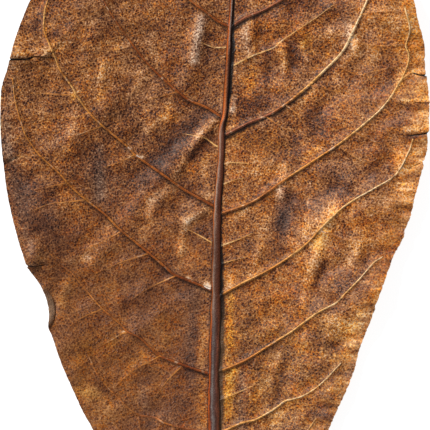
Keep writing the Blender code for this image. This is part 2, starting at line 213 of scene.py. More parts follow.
# The leaf's chart: x to the right, y down towards the stalk, this wide at the widest place.
# The photograph shows the square from 0 to 430 of it.
CHART_WIDTH = 427
UNIT = BLADE_WIDTH / CHART_WIDTH
PHOTO_SIDE = 430
# Place down the chart where the leaf's weight rests
WEIGHT_PLACE = 225
# Camera and floor in metres, and the camera's sensor in millimetres
CAMERA_HEIGHT = 1.1
BLADE_LEVEL = 0.003
SENSOR = 36
CLIP = (0.05, 10)
FLOOR_SIDE = 4
FLOOR_GAP = 0.0002

# Light: the sun's direction in degrees, from +X towards +Y, and its strength against the sky's
KEY_AZIMUTH = 133
KEY_ELEVATION = 43
KEY_SOFTNESS = 9
KEY_LIGHT = 3.7
KEY_COLOUR = (1, 0.97, 0.92)
FILL_LIGHT = 0.28
SKY_COLOUR = (0.94, 0.97, 1, 1)
FLOOR_GREY = (0.35, 0.35, 0.35, 1)
FLOOR_GLOW = 0.9
# Depth of the finest relief and how far the finest patterns are shifted, in metres, and the
# strength of the shine
BUMP_DEPTH = 0.00022
WANDER = 0.0006
SHEEN = 0.28
# Slope of the fine lines in the dry tissue, down and outwards from the midrib
GRAIN_DROP = math.radians(18)

# The midrib's centre line, from the tip to the cut end of the stalk
MIDRIB = [
    (241, -148), (238.5, -100), (235.5, -50), (232, 0), (228.8, 50), (226, 100), (224.5, 117),
    (222, 126), (221.5, 150), (220.6, 165), (217.5, 205), (216.4, 250), (215, 330), (213.8, 372),
    (213.8, 430), (213.5, 520), (213, 646), (210, 692),
]
# Where along the chart the midrib has which share of the stalk's radius
MIDRIB_GROWTH = [(-148, 0), (0, 0.14), (100, 0.22), (200, 0.34), (250, 0.45), (330, 0.56), (430, 0.66),
                 (646, 1)]

# The margin, in stretches between the sharp points where the leaf has torn
TIP = (241, -155)
LEFT_MARGIN = [
    [TIP, (233, -144), (216, -139), (190, -134), (161, -125), (131, -110), (103, -90), (72, -60),
     (48, -30), (31, 0), (22.6, 20.6), (15.8, 41), (12.3, 55), (10.9, 59.4)],
    [(11.8, 60.3)],
    [(10.5, 61.4), (8, 71), (2.7, 88), (1.4, 108), (1.4, 130), (3.4, 159), (7.5, 192), (12.6, 215),
     (20, 243), (23, 252), (26.7, 264)],
    [(28.5, 265.8)],
    [(28, 267.8), (32.5, 274), (41.5, 287), (47.2, 301), (49.4, 316), (48.6, 327), (52.8, 337),
     (61.7, 363), (68.6, 379.5), (82, 410), (93, 430), (110, 470), (129, 510), (149, 550),
     (169, 585), (186, 612), (198, 634), (205, 646)],
]
RIGHT_MARGIN = [
    [TIP, (250, -144), (266, -139), (290, -133), (315, -124), (337, -110), (359, -90), (382, -60),
     (400, -30), (412.5, 0), (417.3, 20.6), (424, 44), (424.8, 62), (425.6, 74.6)],
    [(424.8, 75.6)],
    [(426.4, 76.6), (428.2, 96), (428.9, 104), (428.3, 117), (428.2, 131.6)],
    [(426, 134)],
    [(427, 136.4), (426.9, 148), (424.2, 160)],
    [(422, 161.6)],
    [(423.4, 164.5), (418, 185), (414.5, 197.5), (411, 215), (405, 230), (403.5, 238), (394, 255.4),
     (391, 263), (388.5, 270), (381.6, 289), (375.4, 305.5), (374, 312), (361.7, 344), (357, 360),
     (355.5, 367), (348.7, 386), (344.6, 394.6), (328.8, 430), (313, 470), (295, 510), (275, 550),
     (255, 585), (238, 612), (227, 634), (221, 646)],
]

# Side veins, from the midrib towards the margin
RIGHT_VEINS = [
    [(225, 135), (249, 122.7), (274, 111.8), (300, 93), (322, 72.7), (342, 52), (352, 33), (367, 0),
     (371, -20), (369, -42)],
    [(220, 214), (253, 201.6), (284, 180.3), (311, 162.5), (338, 144.7), (363, 125), (384, 105.6),
     (400, 81), (407, 66), (408.3, 54.8), (405.5, 46), (409, 30), (404, 10)],
    [(218, 297), (242, 283.6), (273, 267.8), (304, 246), (323, 226), (345, 205.7), (373, 189),
     (395, 175), (408, 152), (412, 140)],
    [(216, 373), (242, 362.4), (266, 348), (292, 331.5), (302, 324), (318, 312.4), (336, 302.8),
     (344, 294.5), (360, 278), (373, 263), (381, 257.5)],
    [(215, 436), (242, 423.4), (256, 420), (277, 407.7), (285, 401.5), (303, 396), (321, 383.7),
     (340, 364)],
    [(214, 496), (245, 480), (275, 462), (300, 440), (315, 420)],
    [(214, 548), (245, 533), (270, 514), (288, 492)],
    [(213, 596), (238, 582), (255, 565), (265, 548)],
    [(232, 26), (246, 17), (263, 10.3), (281, 0), (310, -18), (335, -41), (352, -62)],
    [(235, -28), (255, -42), (280, -62), (300, -84), (310, -100)],
    [(238, -80), (252, -92), (268, -108), (276, -118)],
]
LEFT_VEINS = [
    [(223, 117.5), (206, 107), (190.6, 100.8), (177, 91), (151, 67), (128, 38.4), (106, 5), (98, -20),
     (91, -48)],
    [(217, 208), (201, 199), (182, 188.3), (161.5, 173.6), (136, 155.6), (127.5, 146.7), (101.5, 125),
     (89, 112.4), (77, 96), (72.7, 87.8), (60.3, 70), (56, 59), (45.2, 33), (44.6, 20.6), (46, 8),
     (54, -14)],
    [(215, 292), (192, 282), (174, 274.6), (164.5, 266.4), (142.6, 248), (119, 228.7), (105, 214.5),
     (85, 199), (71, 186.5), (60, 174), (41, 156.3), (31.5, 144), (24.7, 131.6), (16.5, 103),
     (13.7, 79)],
    [(213, 375), (192, 368.6), (164.5, 358.3), (157.7, 355), (140, 338.4), (127.5, 332), (119, 323.3),
     (101.5, 308), (84, 288), (71, 272), (60, 265)],
    [(213, 434), (180, 427.6), (164.5, 423.4), (155, 418), (137, 414.5), (122, 402), (100, 378),
     (88, 354)],
    [(213, 492), (185, 482), (160, 470), (138, 452), (114, 424)],
    [(213, 542), (188, 532), (168, 518), (150, 500), (138, 484)],
    [(213, 589), (193, 577), (180, 564), (171, 552)],
    [(230, 26.5), (218, 21), (206, 12), (191, 1), (166, -20), (143, -46), (124, -76)],
    [(235, -32), (215, -46), (195, -64), (180, -84), (172, -100)],
    [(238, -85), (225, -97), (214, -110), (208, -122)],
]
# Thin veins that leave the midrib between the side veins
BETWEEN_VEINS = [
    [(229, 67.5), (249, 57), (263, 51.4), (274, 47.3), (281, 41), (292, 33.6), (314, 19), (332, 6)],
    [(217, 247), (236, 240.4), (252, 233.5)],
    [(216, 265), (231, 261), (243, 258)],
    [(221, 165), (231, 162.4), (248, 163.4)],
    [(219, 186), (232, 180.6), (244, 178)],
    [(214, 403), (233, 395), (242, 391), (254, 385.7)],
    [(228, 47), (214, 47), (203, 43)],
    [(222, 148), (215, 145), (206, 138.5), (196, 135.7), (184, 133.7)],
    [(217, 246), (203, 237.5), (194.6, 233), (186, 228.5)],
    [(400, 80), (410, 73.4), (414, 74)],
]
# Cross veins that show singly
CROSS_VEINS = [
    [(321, 231), (334, 235.6), (344, 239.7), (359, 241), (374, 241), (384, 236), (392, 231), (395, 222),
     (396, 214)],
    [(360, 15), (378, 12.3), (402, 12.3)],
    [(350, 42), (378, 46), (403, 45)],
    [(311, 85), (338, 91.2), (374, 88)],
    [(341, 68), (358, 74.7), (374, 71.3), (400, 66)],
    [(267, 117), (277, 124), (290, 131)],
    [(286, 105), (297, 114), (306, 127)],
    [(356, 133), (378, 142.6), (398, 142)],
    [(340, 147), (364, 161.8), (380, 158)],
    [(277, 268), (280, 275), (288, 281)],
    [(58, 69), (46, 68), (36, 65), (25, 64)],
    [(73, 95), (60, 95), (40, 93.6), (18, 94)],
    [(394, 152), (404, 158), (420, 158)],
    [(353, 204), (366, 210), (380, 213), (393, 213)],
    [(88, 113), (74, 118), (60, 116)],
    [(103, 126), (85, 132.3), (70, 139)],
    [(133, 155), (120, 162), (104, 167)],
    [(176, 92), (162, 96), (146, 99.4)],
    [(67, 183), (52, 186), (38, 189)],
    [(84, 200), (68, 202), (50, 204), (33, 211)],
    [(130, 46), (116, 49.5), (98, 51)],
    [(120, 232), (103, 241), (87, 248)],
    [(147, 254), (119, 263), (97, 273)],
    [(175, 276), (151, 287), (132, 299)],
    [(102, 309), (84, 316.5), (70, 326)],
    [(125, 332), (96, 348), (88, 346)],
    [(160, 356), (132, 371.3), (114, 388)],
    [(181, 367), (167, 381), (154, 400)],
]
# Neighbouring side veins, by place in their lists, and how many cross veins join them
RIGHT_LADDERS = [(0, 1, 4), (1, 2, 4), (2, 3, 5), (3, 4, 4), (4, 5, 3), (5, 6, 2), (8, 0, 4), (9, 8, 3)]
LEFT_LADDERS = [(0, 1, 4), (1, 2, 4), (2, 3, 4), (3, 4, 3), (4, 5, 3), (5, 6, 2), (8, 0, 4), (9, 8, 3)]

# Half widths and heights of the veins at their roots, in metres
SIDE_VEIN = (0.00072, 0.0007)
LEFT_SHARE = 0.88
# Looks of the veins: how plainly they show at the root and at the tip, how golden they are there,
# how dark the painted shadow at the foot is on the side towards the stalk, away from the light,
# and the share of size lost to the tip
RIGHT_LOOKS = [
    (1, 1, 0.14, 1.2, 0.9, 0.25), (1, 0.9, 0.42, 0.86, 0.5, 0.45), (1, 0.9, 0.52, 0.95, 0.45, 0.5),
    (1, 0.7, 0.48, 0.92, 0.5, 0.55), (1, 0.6, 0.7, 0.9, 0.35, 0.6), (1, 0.6, 0.7, 0.8, 0.3, 0.6),
    (1, 0.6, 0.5, 0.8, 0.3, 0.6), (1, 0.6, 0.4, 0.8, 0.3, 0.6), (1, 0.7, 0.12, 0.5, 0.9, 0.5),
    (1, 0.7, 0.1, 0.5, 0.5, 0.6), (1, 0.7, 0.1, 0.5, 0.5, 0.6),
]
LEFT_LOOKS = [
    (1, 0.6, 0.08, 0.25, 0.5, 0.5), (1, 1, 0.12, 0.65, 0.5, 0.45), (1, 0.9, 0.12, 0.5, 0.6, 0.5),
    (1, 0.3, 0.05, 0.3, 0.6, 0.5), (0.5, 0.1, 0.1, 0.4, 0.2, 0.6), (0.9, 0.3, 0.2, 0.5, 0.4, 0.6),
    (0.9, 0.3, 0.1, 0.4, 0.4, 0.6), (0.9, 0.3, 0.1, 0.4, 0.4, 0.6), (1, 0.5, 0.05, 0.4, 0.5, 0.6),
    (0.9, 0.5, 0.1, 0.4, 0.4, 0.6), (0.9, 0.5, 0.1, 0.4, 0.4, 0.6),
]
BETWEEN_LOOK = (1, 0.8, 0.8, 0.75, 0, 0.6)
CROSS_LOOK = (0.85, 0.5, 0.5, 0.5, 0, 0.6)
LADDER_LOOK = (0.5, 0.2, 0.45, 0.45, 0, 0.6)
BETWEEN_VEIN = (0.00045, 0.00032)
CROSS_VEIN = (0.00038, 0.00016)

# Soft folds of the dry blade: two ends in the chart, half width and height in metres
FOLDS = [
    ((217, 120), (160, 180), 0.0034, 0.0011),
    ((200, 108), (146, 160), 0.0034, -0.0007),
    ((203, 14), (190, 70), 0.003, 0.001),
    ((214, 206), (174, 220), 0.003, 0.0008),
    ((212, 186), (196, 203), 0.003, 0.0007),
    ((150, 196), (96, 262), 0.0036, 0.0009),
    ((120, 96), (62, 150), 0.0036, 0.0008),
    ((190, 300), (140, 330), 0.0036, 0.0008),
    ((306, 264), (322, 222), 0.004, 0.001),
    ((344, 60), (356, 40), 0.0034, 0.0007),
    ((224, 330), (225, 398), 0.0022, 0.0007),
    ((242, 50), (252, 26), 0.003, 0.0008),
    ((270, 150), (330, 110), 0.0044, -0.0009),
    ((262, 230), (330, 186), 0.0044, -0.0009),
    ((60, 55), (46, 57), 0.0022, 0.0005),
    ((44, 55), (14, 56), 0.0026, 0.0007),
    ((38, 250), (28, 268), 0.002, 0.0012),
    ((43, 290), (47, 324), 0.0016, 0.0014),
    ((400, 101), (426, 101), 0.0024, 0.001),
]

# Tears and sharp creases, from the margin inwards: route, which side is raised (+1 is left of
# the route), its rise and the groove's half width in metres, and how dark the painted shade in
# the groove is
TEARS = [
    ([(8, 60.8), (20, 60.4), (28, 60), (33, 58.6)], 1, 0.0006, 0.00042, 1),
    ([(30, 59.4), (35, 57.6), (45, 58), (56, 59)], 1, 0.0004, 0.0002, 0.6),
    ([(44, 57), (53.6, 53), (60, 47), (68, 43.5)], 1, 0.0005, 0.00012, 0),
    ([(430, 75.8), (421, 75.8), (413, 73.4)], -1, 0.0006, 0.00042, 0.95),
    ([(431, 104), (420, 103.4), (409, 103)], -1, 0.0005, 0.00016, 0.1),
    ([(431, 132.4), (420, 134.8), (409, 136)], -1, 0.0008, 0.0005, 0.8),
    ([(426, 161), (419, 163.6), (411, 167)], 1, 0.0006, 0.00024, 0.6),
    ([(425, 160.4), (414, 160.2), (404, 159.4)], 1, 0.0001, 0.00014, 0.3),
    ([(24, 265.4), (36, 266), (46, 264.8)], 1, 0.0006, 0.00026, 0.7),
    ([(0, 163), (7, 162), (13, 158.6), (22, 158)], 1, 0.0007, 0.00014, 0.2),
    ([(230, 97), (233.4, 101), (230.6, 118), (227, 128)], -1, 0.0003, 0.00012, 0.1),
]
# The strip of margin that has rolled over on the left: its inner edge, and its rise in metres
ROLLED_EDGE = [(48.6, 328), (52.3, 323), (55, 317), (55.8, 310), (54.8, 303), (52, 296), (46, 287), (41, 281)]
ROLLED_RISE = 0.0006

# Along the midrib, by y in the chart: how brightly its painted lit side shows, and how far the
# painted shade beside it reaches, in its own half widths
RIB_GLOW = [(12, 1.1), (45, 0.95), (90, 0.66), (108, 1.05), (175, 1.05), (228, 0.76), (270, 0.56),
            (338, 0.92), (402, 1.15)]
SHADE_REACH = [(12, 1.6), (45, 2.4), (90, 2.05), (108, 1.4), (228, 1.35), (262, 1.8), (340, 2), (430, 1.65)]

# Patches of another tone: two ends and half width in the chart, how much lighter and how much
# greyer in hundredths. Darker and more golden are below zero. Most are painted light and shade:
# painted highlights and pinkish sheen on the lit sides of folds, creases and crack lips, painted
# grey-blue shade in fold hollows and below lips, and painted white glints on veins; some are the
# tissue's own lighter, darker and golden zones.
TONES = [
    (201, 19, 194, 61, 5.5, 62, 85), (208, 36, 205, 60, 4, -45, 10), (214, 120, 199, 134, 3, 60, 15),
    (199, 134, 175, 174, 4, 60, 25), (204, 111, 164, 156, 10, -60, 22), (208, 142, 192, 156, 6, -60, 15),
    (54, 54, 60, 47, 1.6, 30, 5), (60, 47, 69, 43, 1.6, 25, 5), (14, 57.6, 34, 55, 1.6, 45, 15),
    (150, 160, 164, 170, 9, -44, 18), (402, 101, 428, 101.6, 1.6, 50, 0),
    (402, 130.6, 427, 130.6, 1.8, 45, 20), (413, 164, 423, 160, 1.6, 60, 10),
    (7, 160, 20, 157, 1.6, 60, 10), (74, 96, 74, 96.5, 3, 60, -80), (418, 76, 412, 72, 2, 50, -10),
    (168, 106, 165, 118, 4, 70, 10), (165, 118, 146, 130, 4, 50, 10), (205, 155, 205, 176, 4, 40, 0),
    (213, 192, 204, 198, 3, 60, 10), (207, 209, 188, 221, 4, 65, 30), (186, 221, 181, 252, 5, 65, 25),
    (212, 222, 210, 240, 3, -40, 15), (187, 264, 176, 268, 6, 35, 25), (205, 283, 206, 286, 5, 50, 10),
    (166, 268, 163, 276, 6, -35, 15), (172, 186, 152, 200, 6, 40, 25), (152, 200, 149, 216, 5, 40, 25),
    (143, 226, 142, 242, 4, 35, 20), (110, 226, 109, 230, 5, 30, 10), (104, 60, 99, 98, 4, 45, 5),
    (141, 70, 138, 90, 5, 32, 5), (150, 40, 155, 62, 5, 25, 0), (76, 110, 69, 150, 4, 32, 0),
    (56, 47, 46, 53, 4, 55, 10), (46, 53, 14, 56, 3, 50, 5), (46, 28, 47, 32, 5, 50, 0),
    (38, 22, 37, 30, 4, -50, 10), (58, 34, 54, 36, 4, -50, 10), (20, 44, 56, 68, 14, 22, 0),
    (75, 94, 74, 96, 4, 45, 0), (118, 190, 103, 197, 4, 35, 10), (112, 22, 106, 30, 5, -35, 10),
    (122, 42, 116, 46, 6, 35, 5), (86, 166, 112, 192, 20, -28, 26), (22, 200, 60, 236, 20, -28, 20),
    (4, 120, 10, 150, 7, 14, 10), (28, 182, 44, 192, 10, -34, 15), (66, 260, 88, 257, 4, 45, 20),
    (88, 257, 92, 244, 5, 30, 20), (68, 282, 60, 304, 5, 40, 0), (128, 300, 127, 302, 6, -35, 10),
    (96, 380, 108, 391, 4, -45, 10), (92, 394, 78, 392, 6, 35, -30), (144, 355, 131, 368, 5, 25, 0),
    (85, 346, 112, 350, 13, 5, -45), (160, 306, 168, 342, 9, 8, -45), (262, 262, 268, 330, 22, 0, -22),
    (236, 404, 300, 392, 18, 0, -22), (78, 360, 104, 412, 20, 26, -30), (194, 292, 190, 372, 9, -14, 40),
    (203, 318, 201, 366, 4, 50, -40), (201, 380, 203, 424, 4, 34, -50), (245, 26, 248, 50, 6, 45, 45),
    (259, 26, 260, 33, 4, -40, 10), (281, 45, 285, 70, 3.4, 66, 12), (267, 50, 268, 76, 5, -52, 0),
    (291, 42, 294, 70, 4.5, -55, 5), (300, 42, 307, 61, 2, 45, 0), (307, 61, 318, 69, 2, 45, 0),
    (329, 28, 332, 52, 4, 25, 0), (351, 28, 355, 54, 4, 75, 20), (374, 54, 369, 62, 4, 40, 0),
    (388, 36, 389, 44, 6, -30, 5), (388, 62, 389, 74, 6, -30, 5), (234.4, 67, 234.4, 78, 3.5, 50, 35),
    (234, 97, 233.6, 110, 3, 50, 55), (233.4, 108, 231, 114, 2, 40, 40), (240, 102, 254, 109, 7, -55, 0),
    (258, 98, 266, 104, 6, -30, 10), (252, 72, 252, 90, 7, 30, -50), (314, 91, 296, 104, 4, 50, 0),
    (258, 116, 256, 118, 4, 40, 0), (300, 112, 300, 115, 4, 35, 0), (281, 117, 275, 119, 5, -40, 0),
    (314, 114, 320, 130, 7, -35, 5), (324, 145, 304, 157, 4, 50, 10), (226.6, 150, 226.6, 172, 2.6, 45, 5),
    (255, 160, 259, 178, 5, 32, 0), (284, 165, 279, 198, 4, 55, 20), (270, 156, 272, 172, 5, 20, 0),
    (250, 188, 260, 196, 5, -35, 5), (294, 140, 296, 150, 6, -30, 10), (399, 150, 400, 172, 4, 55, -10),
    (402, 74, 396, 90, 4, 60, -10), (333, 202, 333, 209, 5, 22, 10), (309, 196, 308, 200, 4, 40, 10),
    (230, 218, 252, 209, 4, 35, 15), (374, 160, 373, 171, 6, -35, 5), (382, 144, 382, 150, 5, -30, 5),
    (345, 184, 334, 184, 6, -30, 0), (380, 18, 402, 58, 14, 24, -20), (407, 109, 429, 104.6, 3.4, -50, 20),
    (392, 125, 403, 122, 3.4, -45, 10), (406, 140, 413, 138.6, 4, -50, 10),
    (410, 178, 414, 179, 4, -50, 10), (422, 88, 425, 120, 8, 40, -35), (420, 146, 406, 190, 8, 25, -30),
    (266, 218, 255, 259, 5, 45, 20), (306, 225, 305, 235, 4, 40, 5), (332, 210, 318, 245, 7, 50, -25),
    (318, 245, 311, 264, 6, 50, -20), (311, 264, 303, 303, 5, 40, 5), (359, 243, 349, 263, 5, 50, 0),
    (281, 232, 281, 255, 7, -35, 10), (291, 198, 285, 222, 8, -55, 40), (341, 222, 344, 233, 5, -35, 5),
    (358, 214, 359, 222, 5, -35, 5), (324, 265, 316, 285, 4, -45, 10), (366, 254, 365, 262, 5, -30, 5),
    (325, 312, 336, 309, 3.4, -40, 5), (336, 309, 348, 315, 3.4, -40, 5), (336, 320, 330, 324, 8, 35, -5),
    (331, 347, 341, 344, 5, -55, 10), (314.5, 331, 314.5, 346, 5, -30, 5), (327, 404, 327, 420, 7, -25, 5),
    (231, 276, 231, 286, 4, 50, 0), (230.6, 296, 230, 346, 3.6, 42, -85), (230, 374, 228, 394, 5, 65, -90),
    (228, 394, 228, 418, 4, 40, -90), (243, 352, 243, 362, 6, -15, 20), (242, 376, 242, 430, 6, -10, 60),
    (243, 287, 243, 296, 5, -35, 15), (287, 350, 275, 404, 4, -35, 10), (281, 348, 269, 382, 4, 30, 0),
    (269, 382, 255, 401, 4, 30, 0), (255, 362, 255, 368, 5, -30, 5), (293, 368, 293, 373, 5, 30, 0),
    (276, 417, 274, 426, 5, 45, 5), (304, 336, 303, 352, 5, 25, 0), (357, 316, 350, 346, 9, 26, 10),
    (396, 258, 342, 284, 15, -36, 10), (100, 148, 99, 198, 6, 0, 45), (76, 112, 74, 136, 6, 0, 35),
    (140, 373, 150, 425, 7, 0, 35), (165, 375, 172, 425, 7, 0, 35), (400, 196, 348, 214, 13, 26, 0),
    (345, 20, 347, 45, 6, 0, 40), (280, 190, 283, 238, 7, 0, 35), (12, 60, 6, 150, 7, 0, 35),
    (10, 150, 32, 255, 8, 0, 35), (330, 226, 294, 244, 12, 30, 0), (372, 312, 340, 410, 9, 0, 30),
    (305, 36, 308, 50, 7, 0, -60), (232, 135, 292, 150, 9, -4, -55), (400, 84, 410, 98, 13, 0, -45),
    (50, 210, 50, 222, 12, -20, 5), (196, 162, 192, 172, 5, 20, -50), (187, 277, 190, 279, 1.6, 140, 60),
    (206, 286, 210, 288, 2, 150, 60), (127, 146.5, 131, 149.5, 1.4, 120, 60),
    (136, 155, 142, 158.5, 1.4, 140, 60), (122, 331, 124, 332, 1.3, 130, 60),
    (120, 210, 150, 250, 22, -12, 0), (404, 196, 416, 180, 10, 20, 10), (90, 280, 130, 380, 30, 13, 0),
    (296, 2, 340, 12, 13, -48, 10), (303, 58, 320, 70, 7, -30, 0), (268, 100, 282, 98, 6, -34, 0),
    (275, 153, 298, 161, 6, -24, 0), (298, 200, 340, 188, 7, -28, 5), (236, 316, 252, 326, 9, -30, 0),
    (240, 346, 268, 350, 6, -24, 0), (306, 302, 344, 298, 7, -28, 0), (324, 372, 350, 368, 11, -38, 10),
    (316, 412, 338, 420, 10, -32, 5), (140, 176, 158, 182, 8, -36, 20), (238, 114, 244, 124, 6, -44, 5),
    (244, 138, 266, 142, 6, -25, 0), (252, 276, 266, 270, 6, 30, 0), (362, 282, 366, 298, 8, -26, 0),
    (316, 226, 322, 250, 9, 24, -20), (232, 364, 236, 372, 3, 40, -60), (270, 425, 296, 404, 9, 22, -10),
    (214, 34, 216, 50, 6, -30, 10), (17, 36, 14, 72, 8, 24, 0), (142, 24, 166, 30, 7, -24, 0),
    (182, 182, 192, 190, 6, -25, 10), (392, 190, 398, 196, 6, -25, 0), (340, 30, 372, 50, 12, 15, 0),
    (412, 24, 420, 66, 8, 26, -10), (56, 300, 108, 336, 15, 2, -32), (132, 346, 168, 398, 13, 0, -28),
    (36, 70, 60, 140, 14, 0, -20), (241, 4, 241, 22, 5, -45, 5), (150, 160, 160, 240, 34, -7, 5),
    (270, 20, 330, 120, 40, -6, -5), (280, 300, 300, 420, 40, -5, 0),
]
# Smaller folds and hollows than the CAD leaf's: two ends and half width in the chart, rise in
# micrometres
CREASES = [
    (202, 18, 195, 62, 6, 600), (214, 120, 175, 174, 5, 800), (204, 112, 166, 156, 5, -500),
    (206, 140, 186, 164, 5, -500), (168, 104, 148, 130, 4, 350), (207, 209, 187, 221, 4, 700),
    (186, 222, 181, 250, 4, 500), (194, 228, 193, 250, 4, -350), (172, 186, 149, 216, 5, 400),
    (104, 60, 99, 98, 4, 300), (76, 110, 69, 150, 4, 250), (283, 42, 286, 70, 3.5, 650),
    (270, 44, 270, 74, 4, -550), (293, 44, 293, 66, 4, -550), (301, 42, 308, 61, 2.5, 300),
    (308, 61, 319, 68, 2.5, 300), (248, 26, 250, 50, 6, 400), (260, 26, 260, 48, 4, -400),
    (235, 96, 232, 114, 3, 500), (354, 28, 358, 56, 4, 500), (287, 162, 282, 200, 4, 450),
    (298, 166, 290, 204, 5, -450), (268, 217, 257, 262, 5, 450), (280, 226, 284, 256, 7, -550),
    (332, 216, 313, 268, 6, 550), (313, 266, 305, 304, 5, 350), (327, 260, 319, 288, 4, -450),
    (361, 242, 352, 266, 5, 400), (244, 346, 243, 430, 5, -400), (288, 348, 276, 406, 5, -350),
    (338, 321, 328, 326, 8, 350), (330, 348, 343, 344, 5, -500), (68, 280, 60, 304, 5, 350),
    (70, 260, 90, 248, 4, 400), (205, 154, 205, 178, 4, 300), (229, 148, 229, 174, 3, 250),
    (400, 148, 401, 173, 4, 350), (388, 34, 394, 74, 7, -250),
]

# Colours from dark to light, or from left to right over the midrib: place, red, green and blue,
# in thousandths. The midrib's stripes paint its light and shade: a lit orange left flank, a grey
# painted highlight near the crest and a dark shaded right flank.
TISSUE = [
    (0, 22, 5, 2), (200, 70, 19, 6), (400, 165, 54, 17), (540, 270, 98, 28), (700, 430, 178, 54),
    (850, 620, 300, 110), (1000, 850, 540, 280),
]
GREY_TISSUE = [
    (0, 20, 12, 11), (450, 126, 78, 60), (750, 410, 290, 220), (1000, 790, 650, 550),
]
VEIN = [
    (0, 240, 50, 11), (250, 430, 120, 22), (550, 690, 270, 50), (800, 860, 480, 160), (1000, 950, 680, 380),
]
TOP_RIB = [
    (225, 40, 12, 6), (265, 180, 40, 10), (305, 520, 100, 10), (415, 520, 120, 16), (460, 390, 310, 260),
    (525, 280, 200, 165), (585, 70, 24, 14), (660, 16, 7, 5), (760, 10, 5, 4),
]
# The top part's stripes without the painted grey highlight
TOP_RIB_NO_HIGHLIGHT = [
    (225, 40, 12, 6), (265, 180, 40, 10), (305, 520, 100, 10), (430, 560, 150, 24), (520, 260, 80, 28),
    (600, 70, 22, 12), (660, 16, 7, 5), (760, 10, 5, 4),
]
MIDDLE_RIB = [
    (230, 80, 22, 10), (255, 480, 100, 12), (290, 480, 140, 35), (330, 380, 230, 160), (390, 330, 215, 165),
    (445, 200, 85, 50), (530, 150, 48, 24), (700, 190, 52, 24), (760, 110, 40, 20),
]
LOWER_RIB = [
    (240, 40, 14, 6), (262, 500, 95, 8), (300, 420, 80, 10), (335, 100, 22, 14), (375, 80, 32, 26),
    (420, 130, 104, 94), (460, 125, 108, 102), (510, 90, 50, 42), (570, 95, 38, 29), (650, 280, 92, 54),
    (700, 380, 130, 72), (750, 220, 95, 46),
]


def metres(points):
    """Chart points as an array of metres, +Y towards the leaf's tip."""
    return np.array(points, float) * (UNIT, -UNIT)


def along(line):
    """How far along a line each of its points lies."""
    return np.concatenate([[0], np.cumsum(np.linalg.norm(np.diff(line, axis=0), axis=1))])


def smooth(points, step):
    """Points about one step apart on a smooth curve through the given ones."""
    given = np.array(points, float)
    if len(given) < 3:
        return given
    knots = np.vstack([2 * given[:1] - given[1:2], given, 2 * given[-1:] - given[-2:-1]])
    share = np.linspace(0, 1, CURVE_PARTS, endpoint=False)[:, None]
    pieces = []
    for before, start, end, after in zip(knots, knots[1:], knots[2:], knots[3:]):
        bend = 2 * before - 5 * start + 4 * end - after
        turn = 3 * start - before - 3 * end + after
        pieces.append(start + 0.5 * share * (end - before + share * (bend + share * turn)))
    return resample(np.vstack(pieces + [given[-1:]]), step)


def resample(line, step):
    """The same line with points an even step apart."""
    far = along(line)
    places = np.linspace(0, far[-1], max(2, round(far[-1] / step) + 1))
    return np.column_stack([np.interp(places, far, line[:, axis]) for axis in (0, 1)])


def nearest(points, route, reach=None):
    """Distance of each point to a route, how far along it, and which side of it (+1 is left).

    Points further than reach from the route's box are left at infinity.
    """
    best = np.full(len(points), np.inf)
    place = np.zeros(len(points))
    side = np.ones(len(points))
    near = np.arange(len(points))
    if reach is not None:
        low, high = route.min(axis=0) - reach, route.max(axis=0) + reach
        near = near[((points > low) & (points < high)).all(axis=1)]
    if not len(near):
        return best, place, side
    held = points[near]
    lengths = np.linalg.norm(np.diff(route, axis=0), axis=1)
    before = along(route)
    far_near, place_near, side_near = best[near], place[near], side[near]
    for start, end, length, done in zip(route, route[1:], lengths, before):
        way = end - start
        share = np.clip((held - start) @ way / length**2, 0, 1)
        off = held - start - share[:, None] * way
        far = np.hypot(off[:, 0], off[:, 1])
        closer = far < far_near
        far_near[closer] = far[closer]
        place_near[closer] = (done + share[closer] * length) / before[-1]
        side_near[closer] = np.sign(way[0] * off[closer, 1] - way[1] * off[closer, 0])
    best[near], place[near], side[near] = far_near, place_near, side_near
    return best, place, side


def bell(points, ends, half):
    """1 on the straight line between two places, falling off beside it over this half width."""
    return np.exp(-((nearest(points, ends)[0] / half) ** 2))


def ease(value, low, high):
    """A smooth step from 0 at low to 1 at high."""
    share = np.clip((value - low) / (high - low), 0, 1)
    return share * share * (3 - 2 * share)


def beside(route, distance):
    """The route moved sideways, to its left for a distance above zero."""
    way = np.gradient(route, axis=0)
    way /= np.linalg.norm(way, axis=1)[:, None]
    return route + distance * np.column_stack([-way[:, 1], way[:, 0]])


def margin(step):
    """The closed outline of blade and stalk, tip first, down the left and up the right."""
    end = metres([MIDRIB[-1]])[0]
    left = np.vstack([smooth(metres(stretch), step) for stretch in LEFT_MARGIN])
    right = np.vstack([smooth(metres(stretch), step) for stretch in RIGHT_MARGIN])
    sides = []
    for last, sign in ((left[-1], -1), (right[-1], 1)):
        neck = last + (0, -NECK_SHARE * STALK_LENGTH)
        foot = end + (sign * STALK_RADIUS, CUT_ROUNDING * STALK_RADIUS)
        sides.append(smooth([last, neck, foot], step)[1:])
    corners = [end + (-CUT_WIDTH * STALK_RADIUS, 0), end + (CUT_WIDTH * STALK_RADIUS, 0)]
    return np.vstack([left, sides[0], corners, sides[1][::-1], right[::-1][:-1]])


def waves(points, lengths, count, seed):
    """Uneven bumps of about unit height: many level waves of the given lengths, in all directions."""
    chance = np.random.default_rng(seed)
    total = np.zeros(len(points))
    for _ in range(count):
        turn, phase = chance.uniform(0, math.tau, 2)
        length = chance.uniform(*lengths)
        total += np.sin((points @ (math.cos(turn), math.sin(turn))) * math.tau / length + phase)
    return total * math.sqrt(2 / count)


